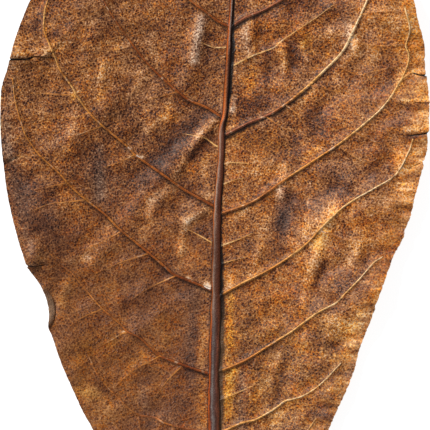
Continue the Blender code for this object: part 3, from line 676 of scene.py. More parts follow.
class Leaf:
    """The leaf's lines in metres, and the heights and marks that they give at any place."""

    def __init__(self):
        self.edge = margin(COARSE_STEP)
        self.closed = np.vstack([self.edge, self.edge[:1]])
        self.midrib = smooth(metres(MIDRIB), VEIN_STEP)
        charts = RIGHT_VEINS, LEFT_VEINS, BETWEEN_VEINS, CROSS_VEINS
        smoothed = [[smooth(metres(vein), VEIN_STEP) for vein in chart] for chart in charts]
        right, left, between, crossing = smoothed
        rungs = ladders(right, RIGHT_LADDERS, crossing)
        rungs += ladders(left, LEFT_LADDERS, crossing + rungs)
        width, height = SIDE_VEIN
        self.veins = [(route, width, height, "side_vein", look) for route, look in zip(right, RIGHT_LOOKS)]
        self.veins += [(route, width * LEFT_SHARE, height * LEFT_SHARE, "side_vein", look)
                       for route, look in zip(left, LEFT_LOOKS)]
        for routes, size, look in ((between, BETWEEN_VEIN, BETWEEN_LOOK), (crossing, CROSS_VEIN, CROSS_LOOK),
                                   (rungs, CROSS_VEIN, LADDER_LOOK)):
            self.veins += [(route, *size, "thin_vein", look) for route in routes]
        self.tears = [(smooth(metres(route), VEIN_STEP / 2), *rest) for route, *rest in TEARS]
        self.rolled = smooth(metres(ROLLED_EDGE), VEIN_STEP / 2)
        self.base = metres([MIDRIB[-2]])[0][1]
        chance = np.random.default_rng(RIPPLE_SEED)
        self.ripples = [[chance.uniform(*span) for span in ((0, math.tau), RIPPLE_LENGTHS, (0, math.tau))]
                        for _ in range(RIPPLE_COUNT)]

    def rib_radius(self, points):
        """Half width of the midrib and stalk beside each point."""
        places = [UNIT * y for y, _ in MIDRIB_GROWTH]
        grown = np.interp(-points[:, 1], places, [share for _, share in MIDRIB_GROWTH])
        depth, *kind = RIB_KNOTS
        knots = waves(points * KNOT_STRETCH, *kind)
        return (MIDRIB_TIP_RADIUS + (STALK_RADIUS - MIDRIB_TIP_RADIUS) * grown) * (1 + depth * knots)

    def across(self, points):
        """Signed distance from the midrib, as a share of the half blade."""
        centre = np.interp(-points[:, 1], -self.midrib[:, 1], self.midrib[:, 0])
        return (points[:, 0] - centre) / (BLADE_WIDTH / 2)

    def drape(self, points):
        """Height of the blade's lower face over the surface that it lies on."""
        from_rib = self.across(points)
        outward = np.abs(from_rib)
        x, y = points[:, 0], points[:, 1]
        top, low = self.edge[:, 1].max(), self.edge[:, 1].min()
        weight = metres([(0, WEIGHT_PLACE)])[0][1]
        to_edge = nearest(points, self.closed)[0]
        height = CUP_RISE * outward**CUP_POWER
        height += TIP_RISE * np.clip((y - weight) / (top - weight), 0, 1) ** END_POWER
        height += BASE_RISE * np.clip((weight - y) / (weight - low), 0, 1) ** END_POWER
        swing = np.sin(y / LONG_WAVE + LONG_WAVE_LAG * np.sign(from_rib))
        swing += SHORT_WAVE_SHARE * np.sin(y / SHORT_WAVE + SHORT_WAVE_LAG * from_rib)
        near_margin = 1 - ease(to_edge, 0, WAVE_REACH)
        height += MARGIN_WAVE * near_margin * swing * np.clip(2 * outward, 0, 1)
        for turn, length, phase in self.ripples:
            wave = (x * math.cos(turn) + y * math.sin(turn)) * math.tau / length + phase
            height += RIPPLE / 2 * np.sin(wave) * ease(outward, *RIPPLE_START)
        for start, end, half, rise in FOLDS:
            height += rise * bell(points, metres([start, end]), half)
        for x1, y1, x2, y2, half, rise in CREASES:
            height += rise / 1e6 * bell(points, metres([(x1, y1), (x2, y2)]), half * UNIT)
        loose = ease(outward, *LOOSE_START) * np.where(from_rib > 0, 1, LEFT_LOOSENESS)
        for depth, *kind in LOOSE_WAVES:
            height += depth * loose * waves(points, *kind)
        depth, *kind = CRINKLES
        crinkled = ease(from_rib, *CRINKLE_START) * (1 - ease(to_edge, *CRINKLE_END))
        height += depth * crinkled * waves(points * CRINKLE_STRETCH, *kind)
        for route, side, rise, _, _ in self.tears:
            far, place, hand = nearest(points, route, TEAR_REACH)
            lifted = ease(far * hand * side, 0, LIP_WIDTH) * np.exp(-np.minimum(far, 1) / LIP_FALL)
            height += rise * lifted * (1 - ease(place, *LIP_END))
        return np.maximum(height - REST_SINK, 0)

    def ridges(self, points):
        """Relief of the veins, and how close each point is to a crest, by kind of vein."""
        far = nearest(points, self.midrib)[0]
        radius = self.rib_radius(points)
        raised = RIB_HEIGHT_SHARE * radius * np.sqrt(np.clip(1 - (far / radius) ** 2, 0, 1))
        names = "side_vein", "thin_vein", "below_vein", "vein_show", "vein_gold"
        crest = {name: np.zeros(len(points)) for name in names}
        closest = np.zeros(len(points))
        for route, width, height, kind, look in self.veins:
            root_show, tip_show, root_gold, tip_gold, dark, loss = look
            far, place, hand = nearest(points, route, 2 * width)
            taper = 1 - loss * place
            close = np.clip(1 - far / (width * taper), 0, 1)
            show = root_show + (tip_show - root_show) * place
            gold = root_gold + (tip_gold - root_gold) * ease(place, *GOLD_ALONG)
            raised = np.maximum(raised, height * taper * (0.5 + 0.5 * show) * ease(close, 0, 1))
            crest[kind] = np.maximum(crest[kind], close)
            nearer = 1 / (far + TOUCH) > closest
            closest[nearer] = 1 / (far[nearer] + TOUCH)
            crest["vein_show"][nearer] = show[nearer]
            crest["vein_gold"][nearer] = gold[nearer]
            if kind == "side_vein":
                # Painted shadow of a side vein on its side away from the light, towards the stalk
                outward = np.sign(route[-1][0] - route[0][0])
                foot = np.clip(1 - np.abs(far / (width * taper) - FOOT_PLACE) / FOOT_WIDTH, 0, 1)
                foot *= dark * (1 - FOOT_LOSS * place)
                crest["below_vein"] = np.maximum(crest["below_vein"], foot * (hand * outward < 0) * show)
        return raised, crest

    def marks(self, points):
        """Masks that the material reads: painted shade in the tears and along the rolled edge's fold, rolled
        edge, tone, greyness and margin.
        """
        # Painted shade in each crack's groove; the same mask sets how deep the groove is cut
        tear = np.zeros(len(points))
        for route, _, _, groove, dark in self.tears:
            far, place, _ = nearest(points, route, GROOVE_REACH)
            tear = np.maximum(tear, dark * ease(1 - far / (groove * (GROOVE_MOUTH - place)), 0, GROOVE_SIDE))
        far, place, hand = nearest(points, self.rolled, ROLL_REACH)
        ends = ease(place, *ROLL_ENDS[0]) * (1 - ease(place, *ROLL_ENDS[1]))
        rolled = ease(far * hand, *ROLL_START) * ends * (far < ROLL_WIDTH)
        # A painted shade line along the fold of the rolled edge
        line = np.clip(1 - np.abs(far * hand + ROLL_START[0]) / ROLL_LINE, 0, 1)
        tear = np.maximum(tear, ROLL_SHADE * line * ends)
        # Tone and greyness: mostly painted highlights, sheen and shade of folds and creases, partly the
        # tissue's own tone
        light, grey = np.zeros(len(points)), np.zeros(len(points))
        for x1, y1, x2, y2, half, lighter, greyer in TONES:
            close = bell(points, metres([(x1, y1), (x2, y2)]), half * UNIT)
            light += lighter / 100 * close
            grey += greyer / 100 * close
        chart_y = -points[:, 1] / UNIT
        across = self.across(points)
        to_edge = nearest(points, self.closed)[0]
        right = ease(across, *RIGHT_START)
        right_rim = right * (1 - ease(to_edge, *PALE_RIM))
        down = ease(chart_y, *CALM_DOWN) * (1 - CALM_RIGHT_LOSS * right)
        outer = CALM_OUTER * ease(across, *OUTER_PART)
        calm = np.maximum(np.maximum(down, CALM_RIM * right_rim), outer)
        return {
            "tear": tear, "rolled": rolled, "light": light, "grey": grey, "calm": calm,
            "lower_half": ease(chart_y, *LOWER_HALF), "right_rim": right_rim,
            "rib_glow": np.interp(chart_y, *zip(*RIB_GLOW)),
            "shade_reach": np.interp(chart_y, *zip(*SHADE_REACH)),
            "top_part": 1 - ease(chart_y, *TOP_PART), "rim": 1 - ease(to_edge, 0, RIM_WIDTH),
        }


def ladders(veins, rungs, shown):
    """Cross veins between neighbouring side veins, left out where one is already shown."""
    made = []
    for first, second, count in rungs:
        one, other = resample(veins[first], RUNG_STEP), resample(veins[second], RUNG_STEP)
        for number in range(count):
            share = FIRST_RUNG + RUNG_SPAN * (number + 0.5) / count
            start = one[int(share * (len(one) - 1))]
            end = other[int(min(LAST_RUNG, share * RUNG_DRIFT) * (len(other) - 1))]
            middle = 0.5 * (start + end) + RUNG_BOW * np.array([end[1] - start[1], start[0] - end[0]])
            route = smooth([start, middle, end], VEIN_STEP)
            if all(nearest(route[1:-1], drawn)[0].min() > RUNG_CLEAR for drawn in shown + made):
                made.append(route)
    return made


def ragged(outline, leaf):
    """The outline with a fine uneven edge, coarser on the right half, never further out."""
    chance = np.random.default_rng(RAGGED_SEED)
    far = along(outline)
    rough = np.zeros(len(outline))
    for length in RAGGED_LENGTHS:
        rough += np.sin(far * math.tau / (length * chance.uniform(0.9, 1.1)) + chance.uniform(0, math.tau))
    depth = np.where(leaf.across(outline) > 0, *RAGGED_DEPTHS)
    depth *= ease(outline[:, 1], leaf.base, leaf.base + RAGGED_START)
    inward = depth * (np.abs(rough) + chance.uniform(0, RAGGED_JITTER, len(outline)))
    return outline + (beside(outline, 1) - outline) * inward[:, None]


def inside(points, outline):
    """True for each point that the outline holds."""
    held = np.zeros(len(points), bool)
    for (x0, y0), (x1, y1) in zip(outline, np.roll(outline, -1, axis=0)):
        spans = (y0 > points[:, 1]) != (y1 > points[:, 1])
        if spans.any():
            held ^= spans & (points[:, 0] < x0 + (points[:, 1] - y0) * (x1 - x0) / (y1 - y0))
    return held


def mesh_lines(leaf):
    """Lines that the mesh follows: crests and flanks of the veins, tears and rolled edge."""
    spine = leaf.midrib[:-1]
    sideways = (beside(spine, 1) - spine) * leaf.rib_radius(spine)[:, None]
    blade = spine[:, 1] > leaf.base
    lines = [spine + sideways * share for share in RIB_LINES]
    lines += [(spine + sideways * share)[blade] for share in RIB_FOOT_LINES]
    for route, width, _, kind, look in leaf.veins:
        taper = (1 - look[-1] * np.linspace(0, 1, len(route)))[:, None]
        out = (beside(route, 1) - route) * width * taper
        for share in SIDE_VEIN_LINES if kind == "side_vein" else THIN_VEIN_LINES:
            line = route + out * share
            start = leaf.rib_radius(line) * (FLANK_START if share else CREST_START)
            clear = nearest(line, leaf.midrib)[0] > start
            if clear.sum() > 1:
                lines.append(line[clear])
    for route, _, _, groove, _ in leaf.tears:
        lines += [route, beside(route, groove), beside(route, -groove)]
    return lines + [leaf.rolled, beside(leaf.rolled, ROLL_LINE), beside(leaf.rolled, -ROLL_LINE)]


def field(outline):
    """Points in staggered rows, each moved a little, over what the outline holds."""
    low, high = outline.min(axis=0), outline.max(axis=0)
    rows = []
    for number, y in enumerate(np.arange(low[1], high[1], FILL_STEP * ROW_SHARE)):
        row = np.arange(low[0] + (number % 2) * FILL_STEP / 2, high[0], FILL_STEP)
        rows.append(np.column_stack([row, np.full(len(row), y)]))
    grid = np.vstack(rows)
    grid += np.random.default_rng(SCATTER_SEED).uniform(-SCATTER, SCATTER, grid.shape) * FILL_STEP
    return grid[inside(grid, outline)]


def plan(leaf):
    """The flat plan of the leaf: points and triangles that follow margin, veins and tears."""
    outline = ragged(margin(EDGE_STEP), leaf)
    closed = np.vstack([outline, outline[:1]])
    points, edges = [outline], []
    first = len(outline)
    for line in mesh_lines(leaf):
        kept = line[inside(line, outline)]
        if len(kept):
            kept = kept[nearest(kept, closed, EDGE_REACH)[0] > CLEAR_OF_EDGE]
        gaps = np.linalg.norm(np.diff(kept, axis=0), axis=1) < LONGEST_GAP * VEIN_STEP
        edges += [(first + at, first + at + 1) for at in np.flatnonzero(gaps)]
        points.append(kept)
        first += len(kept)
    cells = {tuple(cell) for cell in np.floor(np.vstack(points) / CLEAR).astype(int)}
    around = [(i, j) for i in (-1, 0, 1) for j in (-1, 0, 1)]
    grid = field(outline)
    keys = np.floor(grid / CLEAR).astype(int)
    free = [all((x + i, y + j) not in cells for i, j in around) for x, y in keys]
    points.append(grid[np.array(free)])
    every = [Vector(point) for point in np.vstack(points)]
    made = delaunay_2d_cdt(every, edges, [list(range(len(outline)))], INSIDE_ONLY, MERGE)
    return np.array([tuple(point) for point in made[0]]), np.array(made[2])


def ordered(points, faces):
    """The same plan with every triangle turned upwards and no unused point."""
    a, b, c = points[faces[:, 0]], points[faces[:, 1]], points[faces[:, 2]]
    turn = (b[:, 0] - a[:, 0]) * (c[:, 1] - a[:, 1]) - (b[:, 1] - a[:, 1]) * (c[:, 0] - a[:, 0])
    faces[turn < 0] = faces[turn < 0][:, ::-1]
    used = np.unique(faces)
    number = np.zeros(len(points), int)
    number[used] = np.arange(len(used))
    return points[used], number[faces]


def two_faces(leaf, points, raised, marks):
    """Heights of the upper and of the lower face, which part to a round bar along the stalk."""
    low = leaf.drape(points)
    thick = BLADE_THICKNESS * (1 - RIM_LOSS * marks["rim"])
    groove = np.maximum(marks["tear"], 0) * (thick - CRACK_FLOOR)
    high = low + thick + raised - groove + ROLLED_RISE * marks["rolled"]
    far = nearest(points, leaf.midrib)[0]
    round_off = np.sqrt(np.clip(1 - (far / STALK_RADIUS) ** 2, 0, 1))
    half = BLADE_THICKNESS / 2 + (STALK_RADIUS - BLADE_THICKNESS / 2) * round_off
    stalk = ease(leaf.base - points[:, 1], *STALK_BLEND)
    centre = low + STALK_RADIUS
    return high + stalk * (centre + half - high), low + stalk * (centre - half - low)


def walls(faces, count):
    """The narrow faces along the rim, from the upper face down to the lower."""
    edges = np.vstack([faces[:, [0, 1]], faces[:, [1, 2]], faces[:, [2, 0]]])
    known = {(int(start), int(end)) for start, end in edges}
    rim = sorted((start, end) for start, end in known if (end, start) not in known)
    return [(end, start, start + count, end + count) for start, end in rim]


def leaf_object(leaf):
    """The fine leaf as one closed mesh, upper and lower faces alike, with the material's masks.

    Gives the piece, and the place under the middle of the photograph.
    """
    points, faces = ordered(*plan(leaf))
    count = len(points)
    raised, crest = leaf.ridges(points)
    marks = leaf.marks(points)
    corners = [np.column_stack([points, level]) for level in two_faces(leaf, points, raised, marks)]
    corners = np.vstack(corners)
    middle, shrink = fit(corners)
    corners = (corners - middle) * shrink
    bottom = faces[:, ::-1] + count
    mesh = bpy.data.meshes.new("leaf_fine")
    mesh.from_pydata(corners.tolist(), [], faces.tolist() + bottom.tolist() + walls(faces, count))
    mesh.validate()
    store_masks(mesh, leaf, points, dict(marks, **crest))
    lay_out(mesh, corners, count)
    mesh.shade_smooth()
    mesh.set_sharp_from_angle(angle=SHARP_ANGLE)
    piece = bpy.data.objects.new("indian_almond_leaf_fine", mesh)
    bpy.context.scene.collection.objects.link(piece)
    seen = metres([(PHOTO_SIDE / 2, PHOTO_SIDE / 2)])[0]
    return piece, (seen - middle[:2]) * shrink[:2]


def fit(corners):
    """The shift and the shrinking, by axis, that bring the leaf into the CAD leaf's box."""
    low, high = np.array(CAD_BOX[0]), np.array(CAD_BOX[1])
    shrink = np.minimum(1, (high - low) / np.ptp(corners, axis=0))
    middle = (corners.min(axis=0) + corners.max(axis=0)) / 2 - (low + high) / 2 / shrink
    middle[2] = 0
    shrink[2] = min(1, high[2] / corners[:, 2].max())
    return middle, shrink


def store(mesh, name, values, kind="FLOAT", part="value"):
    """Keeps one number, or one vector, a corner on the mesh, for the material."""
    layer = mesh.attributes.new(name, kind, "POINT")
    layer.data.foreach_set(part, np.asarray(values, np.float32).ravel())


def store_masks(mesh, leaf, points, masks):
    """Keeps the masks on both faces, with the way across the blade and the grain's direction."""
    from_rib = leaf.across(points)
    masks.update(from_rib=from_rib, rib=from_rib * BLADE_WIDTH / 2 / leaf.rib_radius(points))
    for name, value in masks.items():
        store(mesh, name, np.concatenate([value, value]))
    store(mesh, "down_face", np.repeat([0, 1], len(points)))
    outward, y = np.abs(from_rib) * BLADE_WIDTH / 2, points[:, 1]
    level, steep = math.cos(GRAIN_DROP), math.sin(GRAIN_DROP)
    grain = np.column_stack([outward * level - y * steep, outward * steep + y * level, np.sign(from_rib)])
    store(mesh, "grain", np.vstack([grain, grain]), "FLOAT_VECTOR", "vector")


def read(items, name):
    """One whole number of every item of a mesh."""
    values = np.zeros(len(items), int)
    items.foreach_get(name, values)
    return values


def lay_out(mesh, corners, count):
    """Lays the two faces side by side in the texture square, each in plan."""
    width, length = np.ptp(corners[:, 0]) + 2 * TEXTURE_GAP, np.ptp(corners[:, 1]) + 2 * TEXTURE_GAP
    scale = 1 / max(2 * width, length)
    flat = (corners[:, :2] - corners[:, :2].min(axis=0) + TEXTURE_GAP) * scale
    flat[count:, 0] += width * scale
    loops = read(mesh.loops, "vertex_index")
    spots = flat[loops]
    starts, totals = read(mesh.polygons, "loop_start"), read(mesh.polygons, "loop_total")
    for start in starts[totals == 4]:
        for corner in range(start, start + 4):
            if loops[corner] >= count:
                spots[corner] = flat[loops[corner] - count]
    layer = mesh.uv_layers.new(name="OFBake")
    layer.data.foreach_set("uv", spots.ravel())


class Wiring:
    """Adds nodes to one material. Each call gives the socket that a later call can take."""

    def __init__(self, tree):
        self.tree = tree
        self.place = self.node("ShaderNodeTexCoord").outputs["Object"]

    def node(self, kind, **settings):
        made = self.tree.nodes.new(kind)
        for name, value in settings.items():
            setattr(made, name, value)
        return made

    def put(self, socket, value):
        if isinstance(value, bpy.types.NodeSocket):
            self.tree.links.new(value, socket)
        else:
            socket.default_value = value

    def fill(self, made, names, values, output=0):
        """Gives the named inputs of a node their values, in turn."""
        for name, value in zip(names, values):
            self.put(made.inputs[name], value)
        return made.outputs[output]

    def attribute(self, name, output="Fac"):
        return self.node("ShaderNodeAttribute", attribute_name=name).outputs[output]

    def math(self, operation, *values):
        return self.fill(self.node("ShaderNodeMath", operation=operation), (0, 1, 2), values)

    def times(self, first, second):
        return self.math("MULTIPLY", first, second)

    def plus(self, first, second):
        return self.math("ADD", first, second)

    def less(self, first, second):
        return self.math("SUBTRACT", first, second)

    def most(self, first, second):
        return self.math("MAXIMUM", first, second)

    def line(self, value, slope, start):
        return self.math("MULTIPLY_ADD", value, slope, start)

    def total(self, *parts):
        """Sum of pairs: a socket and its weight."""
        whole = 0
        for socket, weight in parts:
            whole = self.line(socket, weight, whole)
        return whole

    def step(self, value, low, high, start=0, end=1):
        made = self.node("ShaderNodeMapRange", interpolation_type="SMOOTHSTEP")
        names = "Value", "From Min", "From Max", "To Min", "To Max"
        return self.fill(made, names, (value, low, high, start, end))

    def stretched(self, where, by):
        return self.fill(self.node("ShaderNodeVectorMath", operation="MULTIPLY"), (0, 1), (where, by))

    def moved(self, where, by, far):
        """The place shifted by a colour's three values, so that a pattern loses its straight lines."""
        made = self.node("ShaderNodeVectorMath", operation="MULTIPLY_ADD")
        return self.fill(made, (0, 1, 2), (by, (far, far, far), where))

    def noise(self, where, scale, detail=3, roughness=0.55, output="Fac"):
        names = "Vector", "Scale", "Detail", "Roughness"
        return self.fill(self.node("ShaderNodeTexNoise"), names, (where, scale, detail, roughness), output)

    def cells(self, where, scale, feature="F1"):
        made = self.node("ShaderNodeTexVoronoi", feature=feature)
        return self.fill(made, ("Vector", "Scale"), (where, scale), "Distance")

    def ramp(self, value, stops):
        made = self.node("ShaderNodeValToRGB")
        points = made.color_ramp.elements
        while len(points) < len(stops):
            points.new(0.5)
        for point, (place, *colour) in zip(points, stops):
            point.position = place / 1000
            point.color = (*(part / 1000 for part in colour), 1)
        return self.fill(made, (0,), (value,))

    def mix(self, share, first, second, blend="MIX"):
        made = self.node("ShaderNodeMix", data_type="RGBA", blend_type=blend)
        colours = [(*value, 1) if isinstance(value, tuple) else value for value in (first, second)]
        return self.fill(made, (0, 6, 7), (share, *colours), 2)

    def dyed(self, colour, by):
        return self.mix(1, colour, by, "MULTIPLY")

    def tinted(self, colour, cool):
        """The colour with more blue and less red for a value above zero, the reverse below it."""
        made = self.node("ShaderNodeCombineColor")
        red = self.math("POWER", math.e, self.times(cool, -0.3))
        blue = self.math("POWER", math.e, cool)
        return self.dyed(colour, self.fill(made, ("Red", "Green", "Blue"), (red, 1, blue)))


def patterns(wire):
    """The mesh's masks, and the dry tissue's noises from broad patches to the finest specks."""
    names = ("side_vein", "thin_vein", "below_vein", "vein_show", "vein_gold", "rib", "light", "grey", "tear",
             "rolled", "rim", "down_face", "lower_half", "right_rim", "rib_glow", "shade_reach", "top_part")
    found = SimpleNamespace(**{name: wire.attribute(name) for name in names})
    place, grain = wire.place, wire.attribute("grain", "Vector")
    scattered = wire.moved(place, wire.noise(place, 1100, 2, output="Color"), WANDER)
    found.right_half = wire.step(wire.attribute("from_rib"), -0.02, 0.02)
    found.turned = wire.stretched(place, (-1, 1, 1))
    found.patches = wire.noise(place, 140, 4, 0.52)
    found.blots = wire.noise(wire.stretched(place, (1, 1, 0.5)), 430)
    found.lines = wire.noise(wire.stretched(grain, (60, 800, 3)), 1, 3, 0.6)
    found.fibre = wire.noise(wire.stretched(grain, (260, 1500, 5)), 1, 2, 0.6)
    found.dust = wire.noise(place, 2050, 2, 0.6)
    specks, net = wire.cells(scattered, 1280), wire.cells(scattered, 1150, "DISTANCE_TO_EDGE")
    found.dot = wire.times(wire.step(specks, 0.54, 0.26), wire.step(found.blots, 0.66, 0.36, 0.45, 1))
    found.thread = wire.times(wire.step(net, 0.2, 0.02), wire.step(found.blots, 0.34, 0.62, 0.5, 1))
    return found


def speckle(wire, found):
    """The fine grain's lightness, weaker where the tissue is calm, under painted sheen, or in the most golden
    patches.
    """
    fine = wire.total((found.dot, -0.38), (found.thread, 0.28), (found.dust, 1.18), (found.fibre, 0.3),
                      (found.lines, 0.28))
    highlit_or_golden = wire.most(wire.step(found.light, 0.45, 1, 0, 0.9), wire.step(found.grey, -0.45, -0.9, 0, 0.8))
    calm = wire.most(wire.attribute("calm"), highlit_or_golden)
    return wire.times(wire.less(fine, 0.86), wire.line(calm, -0.44, 1.02))


def coolness(wire, found, fine):
    """How blue the tissue is against its mean, in patches and in grains, with a soft upper limit."""
    hue = wire.noise(found.turned, 260, 3, 0.6)
    zone_hue = wire.noise(found.turned, 62)
    fine_hue = wire.noise(found.turned, 900, 2, 0.6)
    grit_hue = wire.noise(found.turned, 2400, 1, 0.5)
    cool = wire.total((zone_hue, 2.1), (hue, 2.1), (fine_hue, 2.1), (grit_hue, 4.6), (fine, 0.9),
                      (found.right_half, -0.21), (found.lower_half, 0.05))
    return wire.math("SMOOTH_MIN", wire.less(cool, 5.57), 0.24, 0.3)


def dry_tissue(wire, found):
    """The blade between its veins, and the same in grey."""
    fine = speckle(wire, found)
    broad = wire.noise(wire.place, 38, 4, 0.5)
    crinkles = wire.noise(wire.stretched(wire.place, (110, 620, 1)), 1, 2, 0.5)
    crinkled = wire.times(wire.less(crinkles, 0.42), found.right_rim)
    # The light mask adds the painted highlights and shade of the folds, with some of the tissue's own tone
    tone = wire.total((broad, 0.46), (found.patches, 0.36), (found.blots, 0.06), (found.light, 0.46),
                      (found.right_half, 0.05), (crinkled, 0.9), (found.right_rim, 0.06))
    tone = wire.plus(wire.less(tone, 0.048), fine)
    tissue = wire.tinted(wire.ramp(tone, TISSUE), coolness(wire, found, fine))
    lower_right = wire.times(found.lower_half, found.right_half)
    tissue = wire.mix(lower_right, tissue, wire.dyed(tissue, (1, 1.08, 1.09)))
    warm = wire.most(wire.times(found.right_rim, 0.2), wire.times(found.grey, -1))
    tissue = wire.mix(wire.step(warm, 0, 0.8), tissue, wire.dyed(tissue, (1.05, 1, 0.54)))
    greyed = wire.mix(0.62, tissue, wire.ramp(tone, GREY_TISSUE))
    # Greyer where the patches ask: mostly painted sheen on lit folds and painted grey-blue shade in fold
    # hollows, partly the tissue's own grey
    return wire.mix(wire.step(found.grey, 0, 0.8), tissue, greyed), greyed


def vein_colour(wire, found):
    """Rust to golden along the veins, with painted pale highlight flecks and the veins' own dark spots in
    places, and painted white glints.
    """
    tawny = wire.ramp(wire.line(wire.less(found.patches, 0.5), 0.9, found.vein_gold), VEIN)
    highlight_noise = wire.noise(wire.stretched(found.turned, (1, 1, 0)), 380, 2, 0.5)
    rosy = wire.times(found.right_half, wire.step(found.vein_gold, 0.6, 0.15, 0, 0.85))
    # Rosy roots, painted pale highlight flecks, the veins' own dark spots and fibres, and painted white
    # glints where the tone patches are lightest
    for share, colour in (
            (rosy, (0.33, 0.11, 0.058)),
            (wire.step(highlight_noise, 0.57, 0.7, 0, 0.75), (0.8, 0.56, 0.36)),
            (wire.step(highlight_noise, 0.44, 0.32, 0, 0.6), (0.11, 0.028, 0.012)),
            (wire.step(found.fibre, 0.56, 0.34, 0, 0.5), (0.14, 0.045, 0.016)),
            (wire.step(found.light, 0.8, 1.2), (0.78, 0.7, 0.62))):
        tawny = wire.mix(share, tawny, colour)
    return tawny


def with_veins(wire, found, tissue):
    """The tissue with the side veins, the painted shade at their feet, their painted shadow on the side away
    from the light, and the thin veins.
    """
    tawny = vein_colour(wire, found)
    faded = wire.times(wire.step(wire.noise(wire.place, 320, 2), 0.66, 0.36), wire.less(1, found.vein_show))
    plain = wire.less(1, faded)
    # Painted shade along both feet of each side vein, where its flanks meet the blade
    foot = wire.times(wire.step(found.side_vein, 0, 0.12), wire.step(found.side_vein, 0.5, 0.22))
    foot = wire.times(foot, wire.line(found.vein_gold, -0.95, 0.95))
    tissue = wire.mix(wire.times(foot, found.vein_show), tissue, (0.03, 0.01, 0.006))
    # Painted shadow beside each side vein, on its side away from the light
    tissue = wire.mix(wire.step(found.below_vein, 0, 0.6, 0, 0.9), tissue, (0.012, 0.005, 0.004))
    thin_line = wire.times(wire.step(found.thin_vein, 0.25, 0.75), wire.times(plain, found.vein_show))
    tissue = wire.mix(thin_line, tissue, tawny)
    return wire.mix(wire.times(wire.step(found.side_vein, 0.33, 0.57), plain), tissue, tawny)


def rib_colour(wire, found, across):
    """The midrib's stripes of painted light and shade, which differ at its top, middle and lower part."""
    fibres = wire.noise(wire.stretched(wire.place, (1500, 90, 900)), 1, 3, 0.6)
    highlight_noise = wire.noise(wire.stretched(wire.place, (120, 75, 0)), 1, 2, 0.5)
    stripes = TOP_RIB, TOP_RIB_NO_HIGHLIGHT, MIDDLE_RIB, LOWER_RIB
    top, no_highlight, middle, lower = (wire.ramp(across, stops) for stops in stripes)
    # The painted grey highlight near the crest shows in patches along the top part
    top = wire.mix(wire.step(highlight_noise, 0.44, 0.58), no_highlight, top)
    colour = wire.mix(found.lower_half, wire.mix(found.top_part, middle, top), lower)
    # Painted light: the lit left flank is brightened or dimmed along the midrib
    colour = wire.dyed(colour, wire.mix(wire.step(found.rib, 0, 0.5), found.rib_glow, (1, 1, 1)))
    return wire.mix(wire.step(fibres, 0.6, 0.34, 0, 0.6), colour, (0.06, 0.017, 0.008))


def with_rib(wire, found, tissue):
    """The tissue with the midrib, and the painted shade on both sides of it."""
    sway = wire.noise(wire.stretched(wire.place, (300, 160, 0)), 1, 3, 0.6)
    swayed = wire.line(wire.less(sway, 0.5), 0.9, found.rib)
    colour = rib_colour(wire, found, wire.line(swayed, 0.25, 0.5))
    # Painted shadow to the right of the midrib, away from the light
    shade = wire.mix(found.lower_half, (0.014, 0.007, 0.005), (0.086, 0.042, 0.018))
    lit = wire.step(swayed, wire.less(found.shade_reach, 0.35), wire.plus(found.shade_reach, 0.35))
    right = wire.mix(lit, shade, tissue)
    # A thin painted shade line along the midrib's left foot
    left = wire.mix(wire.step(found.rib, -1.45, -1, 0, 0.8), tissue, (0.03, 0.012, 0.006))
    tissue = wire.mix(wire.step(found.rib, -0.1, 0.1), left, right)
    return wire.mix(wire.step(wire.math("ABSOLUTE", found.rib), 1.06, 0.98), tissue, colour)


def with_margin(wire, found, tissue, greyed):
    """The tissue with rolled strip, rim and the painted shade in the tears, and the duller face that lies
    down.
    """
    strip = wire.mix(0.6, greyed, (0.44, 0.29, 0.18))
    tissue = wire.mix(wire.times(found.rolled, 0.75), tissue, strip)
    edge = wire.mix(found.right_half, (0.1, 0.045, 0.022), (0.62, 0.33, 0.12))
    tissue = wire.mix(wire.step(found.rim, 0.85, 1, 0, 0.35), tissue, edge)
    # Painted shade in the tears' grooves and along the rolled edge's fold
    tissue = wire.mix(wire.step(found.tear, 0.15, 0.7), tissue, (0.012, 0.006, 0.004))
    return wire.mix(found.down_face, tissue, wire.mix(0.6, tissue, (0.16, 0.058, 0.022)))


def leaf_material():
    """Dry brown tissue: dark specks in a tan net, tawny veins, painted shade in the tears and a golden
    margin.
    """
    material = bpy.data.materials.new("dry_leaf_fine")
    material.use_nodes = True
    shader = material.node_tree.nodes["Principled BSDF"]
    wire = Wiring(material.node_tree)
    found = patterns(wire)
    tissue, greyed = dry_tissue(wire, found)
    tissue = with_rib(wire, found, with_veins(wire, found, tissue))
    rough = wire.total((found.patches, 0.3), (found.dust, 0.2), (found.dot, -0.06))
    relief = wire.total((found.dust, 0.5), (found.lines, 0.5), (found.fibre, 0.5), (found.dot, 0.35),
                        (found.patches, 0.8))
    bump = wire.fill(wire.node("ShaderNodeBump"), ("Height", "Strength", "Distance"), (relief, 1, BUMP_DEPTH))
    names = "Base Color", "Roughness", "Normal", "Specular IOR Level"
    wire.fill(shader, names, (with_margin(wire, found, tissue, greyed), wire.plus(rough, 0.26), bump, SHEEN))
    return material


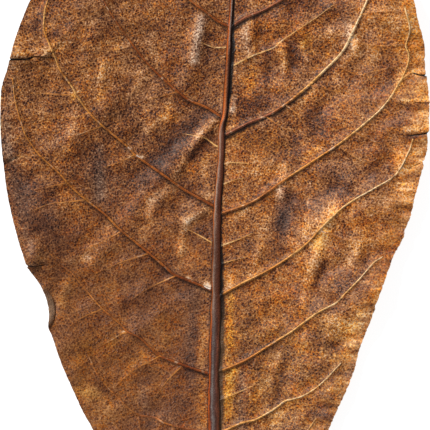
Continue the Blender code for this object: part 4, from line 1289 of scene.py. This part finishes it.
def lights():
    """A soft sun from the upper left and a pale sky."""
    scene = bpy.context.scene
    scene.view_settings.view_transform = "Standard"
    scene.world = bpy.data.worlds.new("pale_room")
    scene.world.use_nodes = True
    backdrop = scene.world.node_tree.nodes["Background"]
    backdrop.inputs["Color"].default_value = SKY_COLOUR
    backdrop.inputs["Strength"].default_value = FILL_LIGHT
    sun = bpy.data.objects.new("key", bpy.data.lights.new("key", "SUN"))
    sun.data.energy = KEY_LIGHT
    sun.data.angle = math.radians(KEY_SOFTNESS)
    sun.data.color = KEY_COLOUR
    turn, rise = math.radians(KEY_AZIMUTH), math.radians(KEY_ELEVATION)
    back = Vector((math.cos(turn) * math.cos(rise), math.sin(turn) * math.cos(rise), math.sin(rise)))
    sun.rotation_euler = back.to_track_quat("Z", "Y").to_euler()
    scene.collection.objects.link(sun)


def floor_under():
    """The plain white floor that the leaf lies on."""
    mesh = bpy.data.meshes.new("floor")
    half = FLOOR_SIDE / 2
    corners = [(-half, -half, 0), (half, -half, 0), (half, half, 0), (-half, half, 0)]
    mesh.from_pydata(corners, [], [(0, 1, 2, 3)])
    floor = bpy.data.objects.new("floor", mesh)
    floor.location.z = -FLOOR_GAP
    white = bpy.data.materials.new("white_floor")
    white.use_nodes = True
    shader = white.node_tree.nodes["Principled BSDF"]
    looks = {"Base Color": FLOOR_GREY, "Roughness": 1, "Emission Color": (1, 1, 1, 1),
             "Emission Strength": FLOOR_GLOW}
    for name, value in looks.items():
        shader.inputs[name].default_value = value
    mesh.materials.append(white)
    bpy.context.scene.collection.objects.link(floor)


def camera_over(seen):
    """The camera straight above the photographed square."""
    camera = bpy.data.objects.new("camera", bpy.data.cameras.new("camera"))
    camera.data.sensor_width = SENSOR
    camera.data.lens = SENSOR * (CAMERA_HEIGHT - BLADE_LEVEL) / (PHOTO_SIDE * UNIT)
    camera.data.clip_start, camera.data.clip_end = CLIP
    camera.location = (*seen, CAMERA_HEIGHT)
    bpy.context.scene.collection.objects.link(camera)
    bpy.context.scene.camera = camera


def build():
    """The leaf in its looks, and the light, floor and camera round it."""
    piece, seen = leaf_object(Leaf())
    piece.data.materials.append(leaf_material())
    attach(piece, "root")
    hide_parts(NODE)
    lights()
    floor_under()
    camera_over(seen)


build()
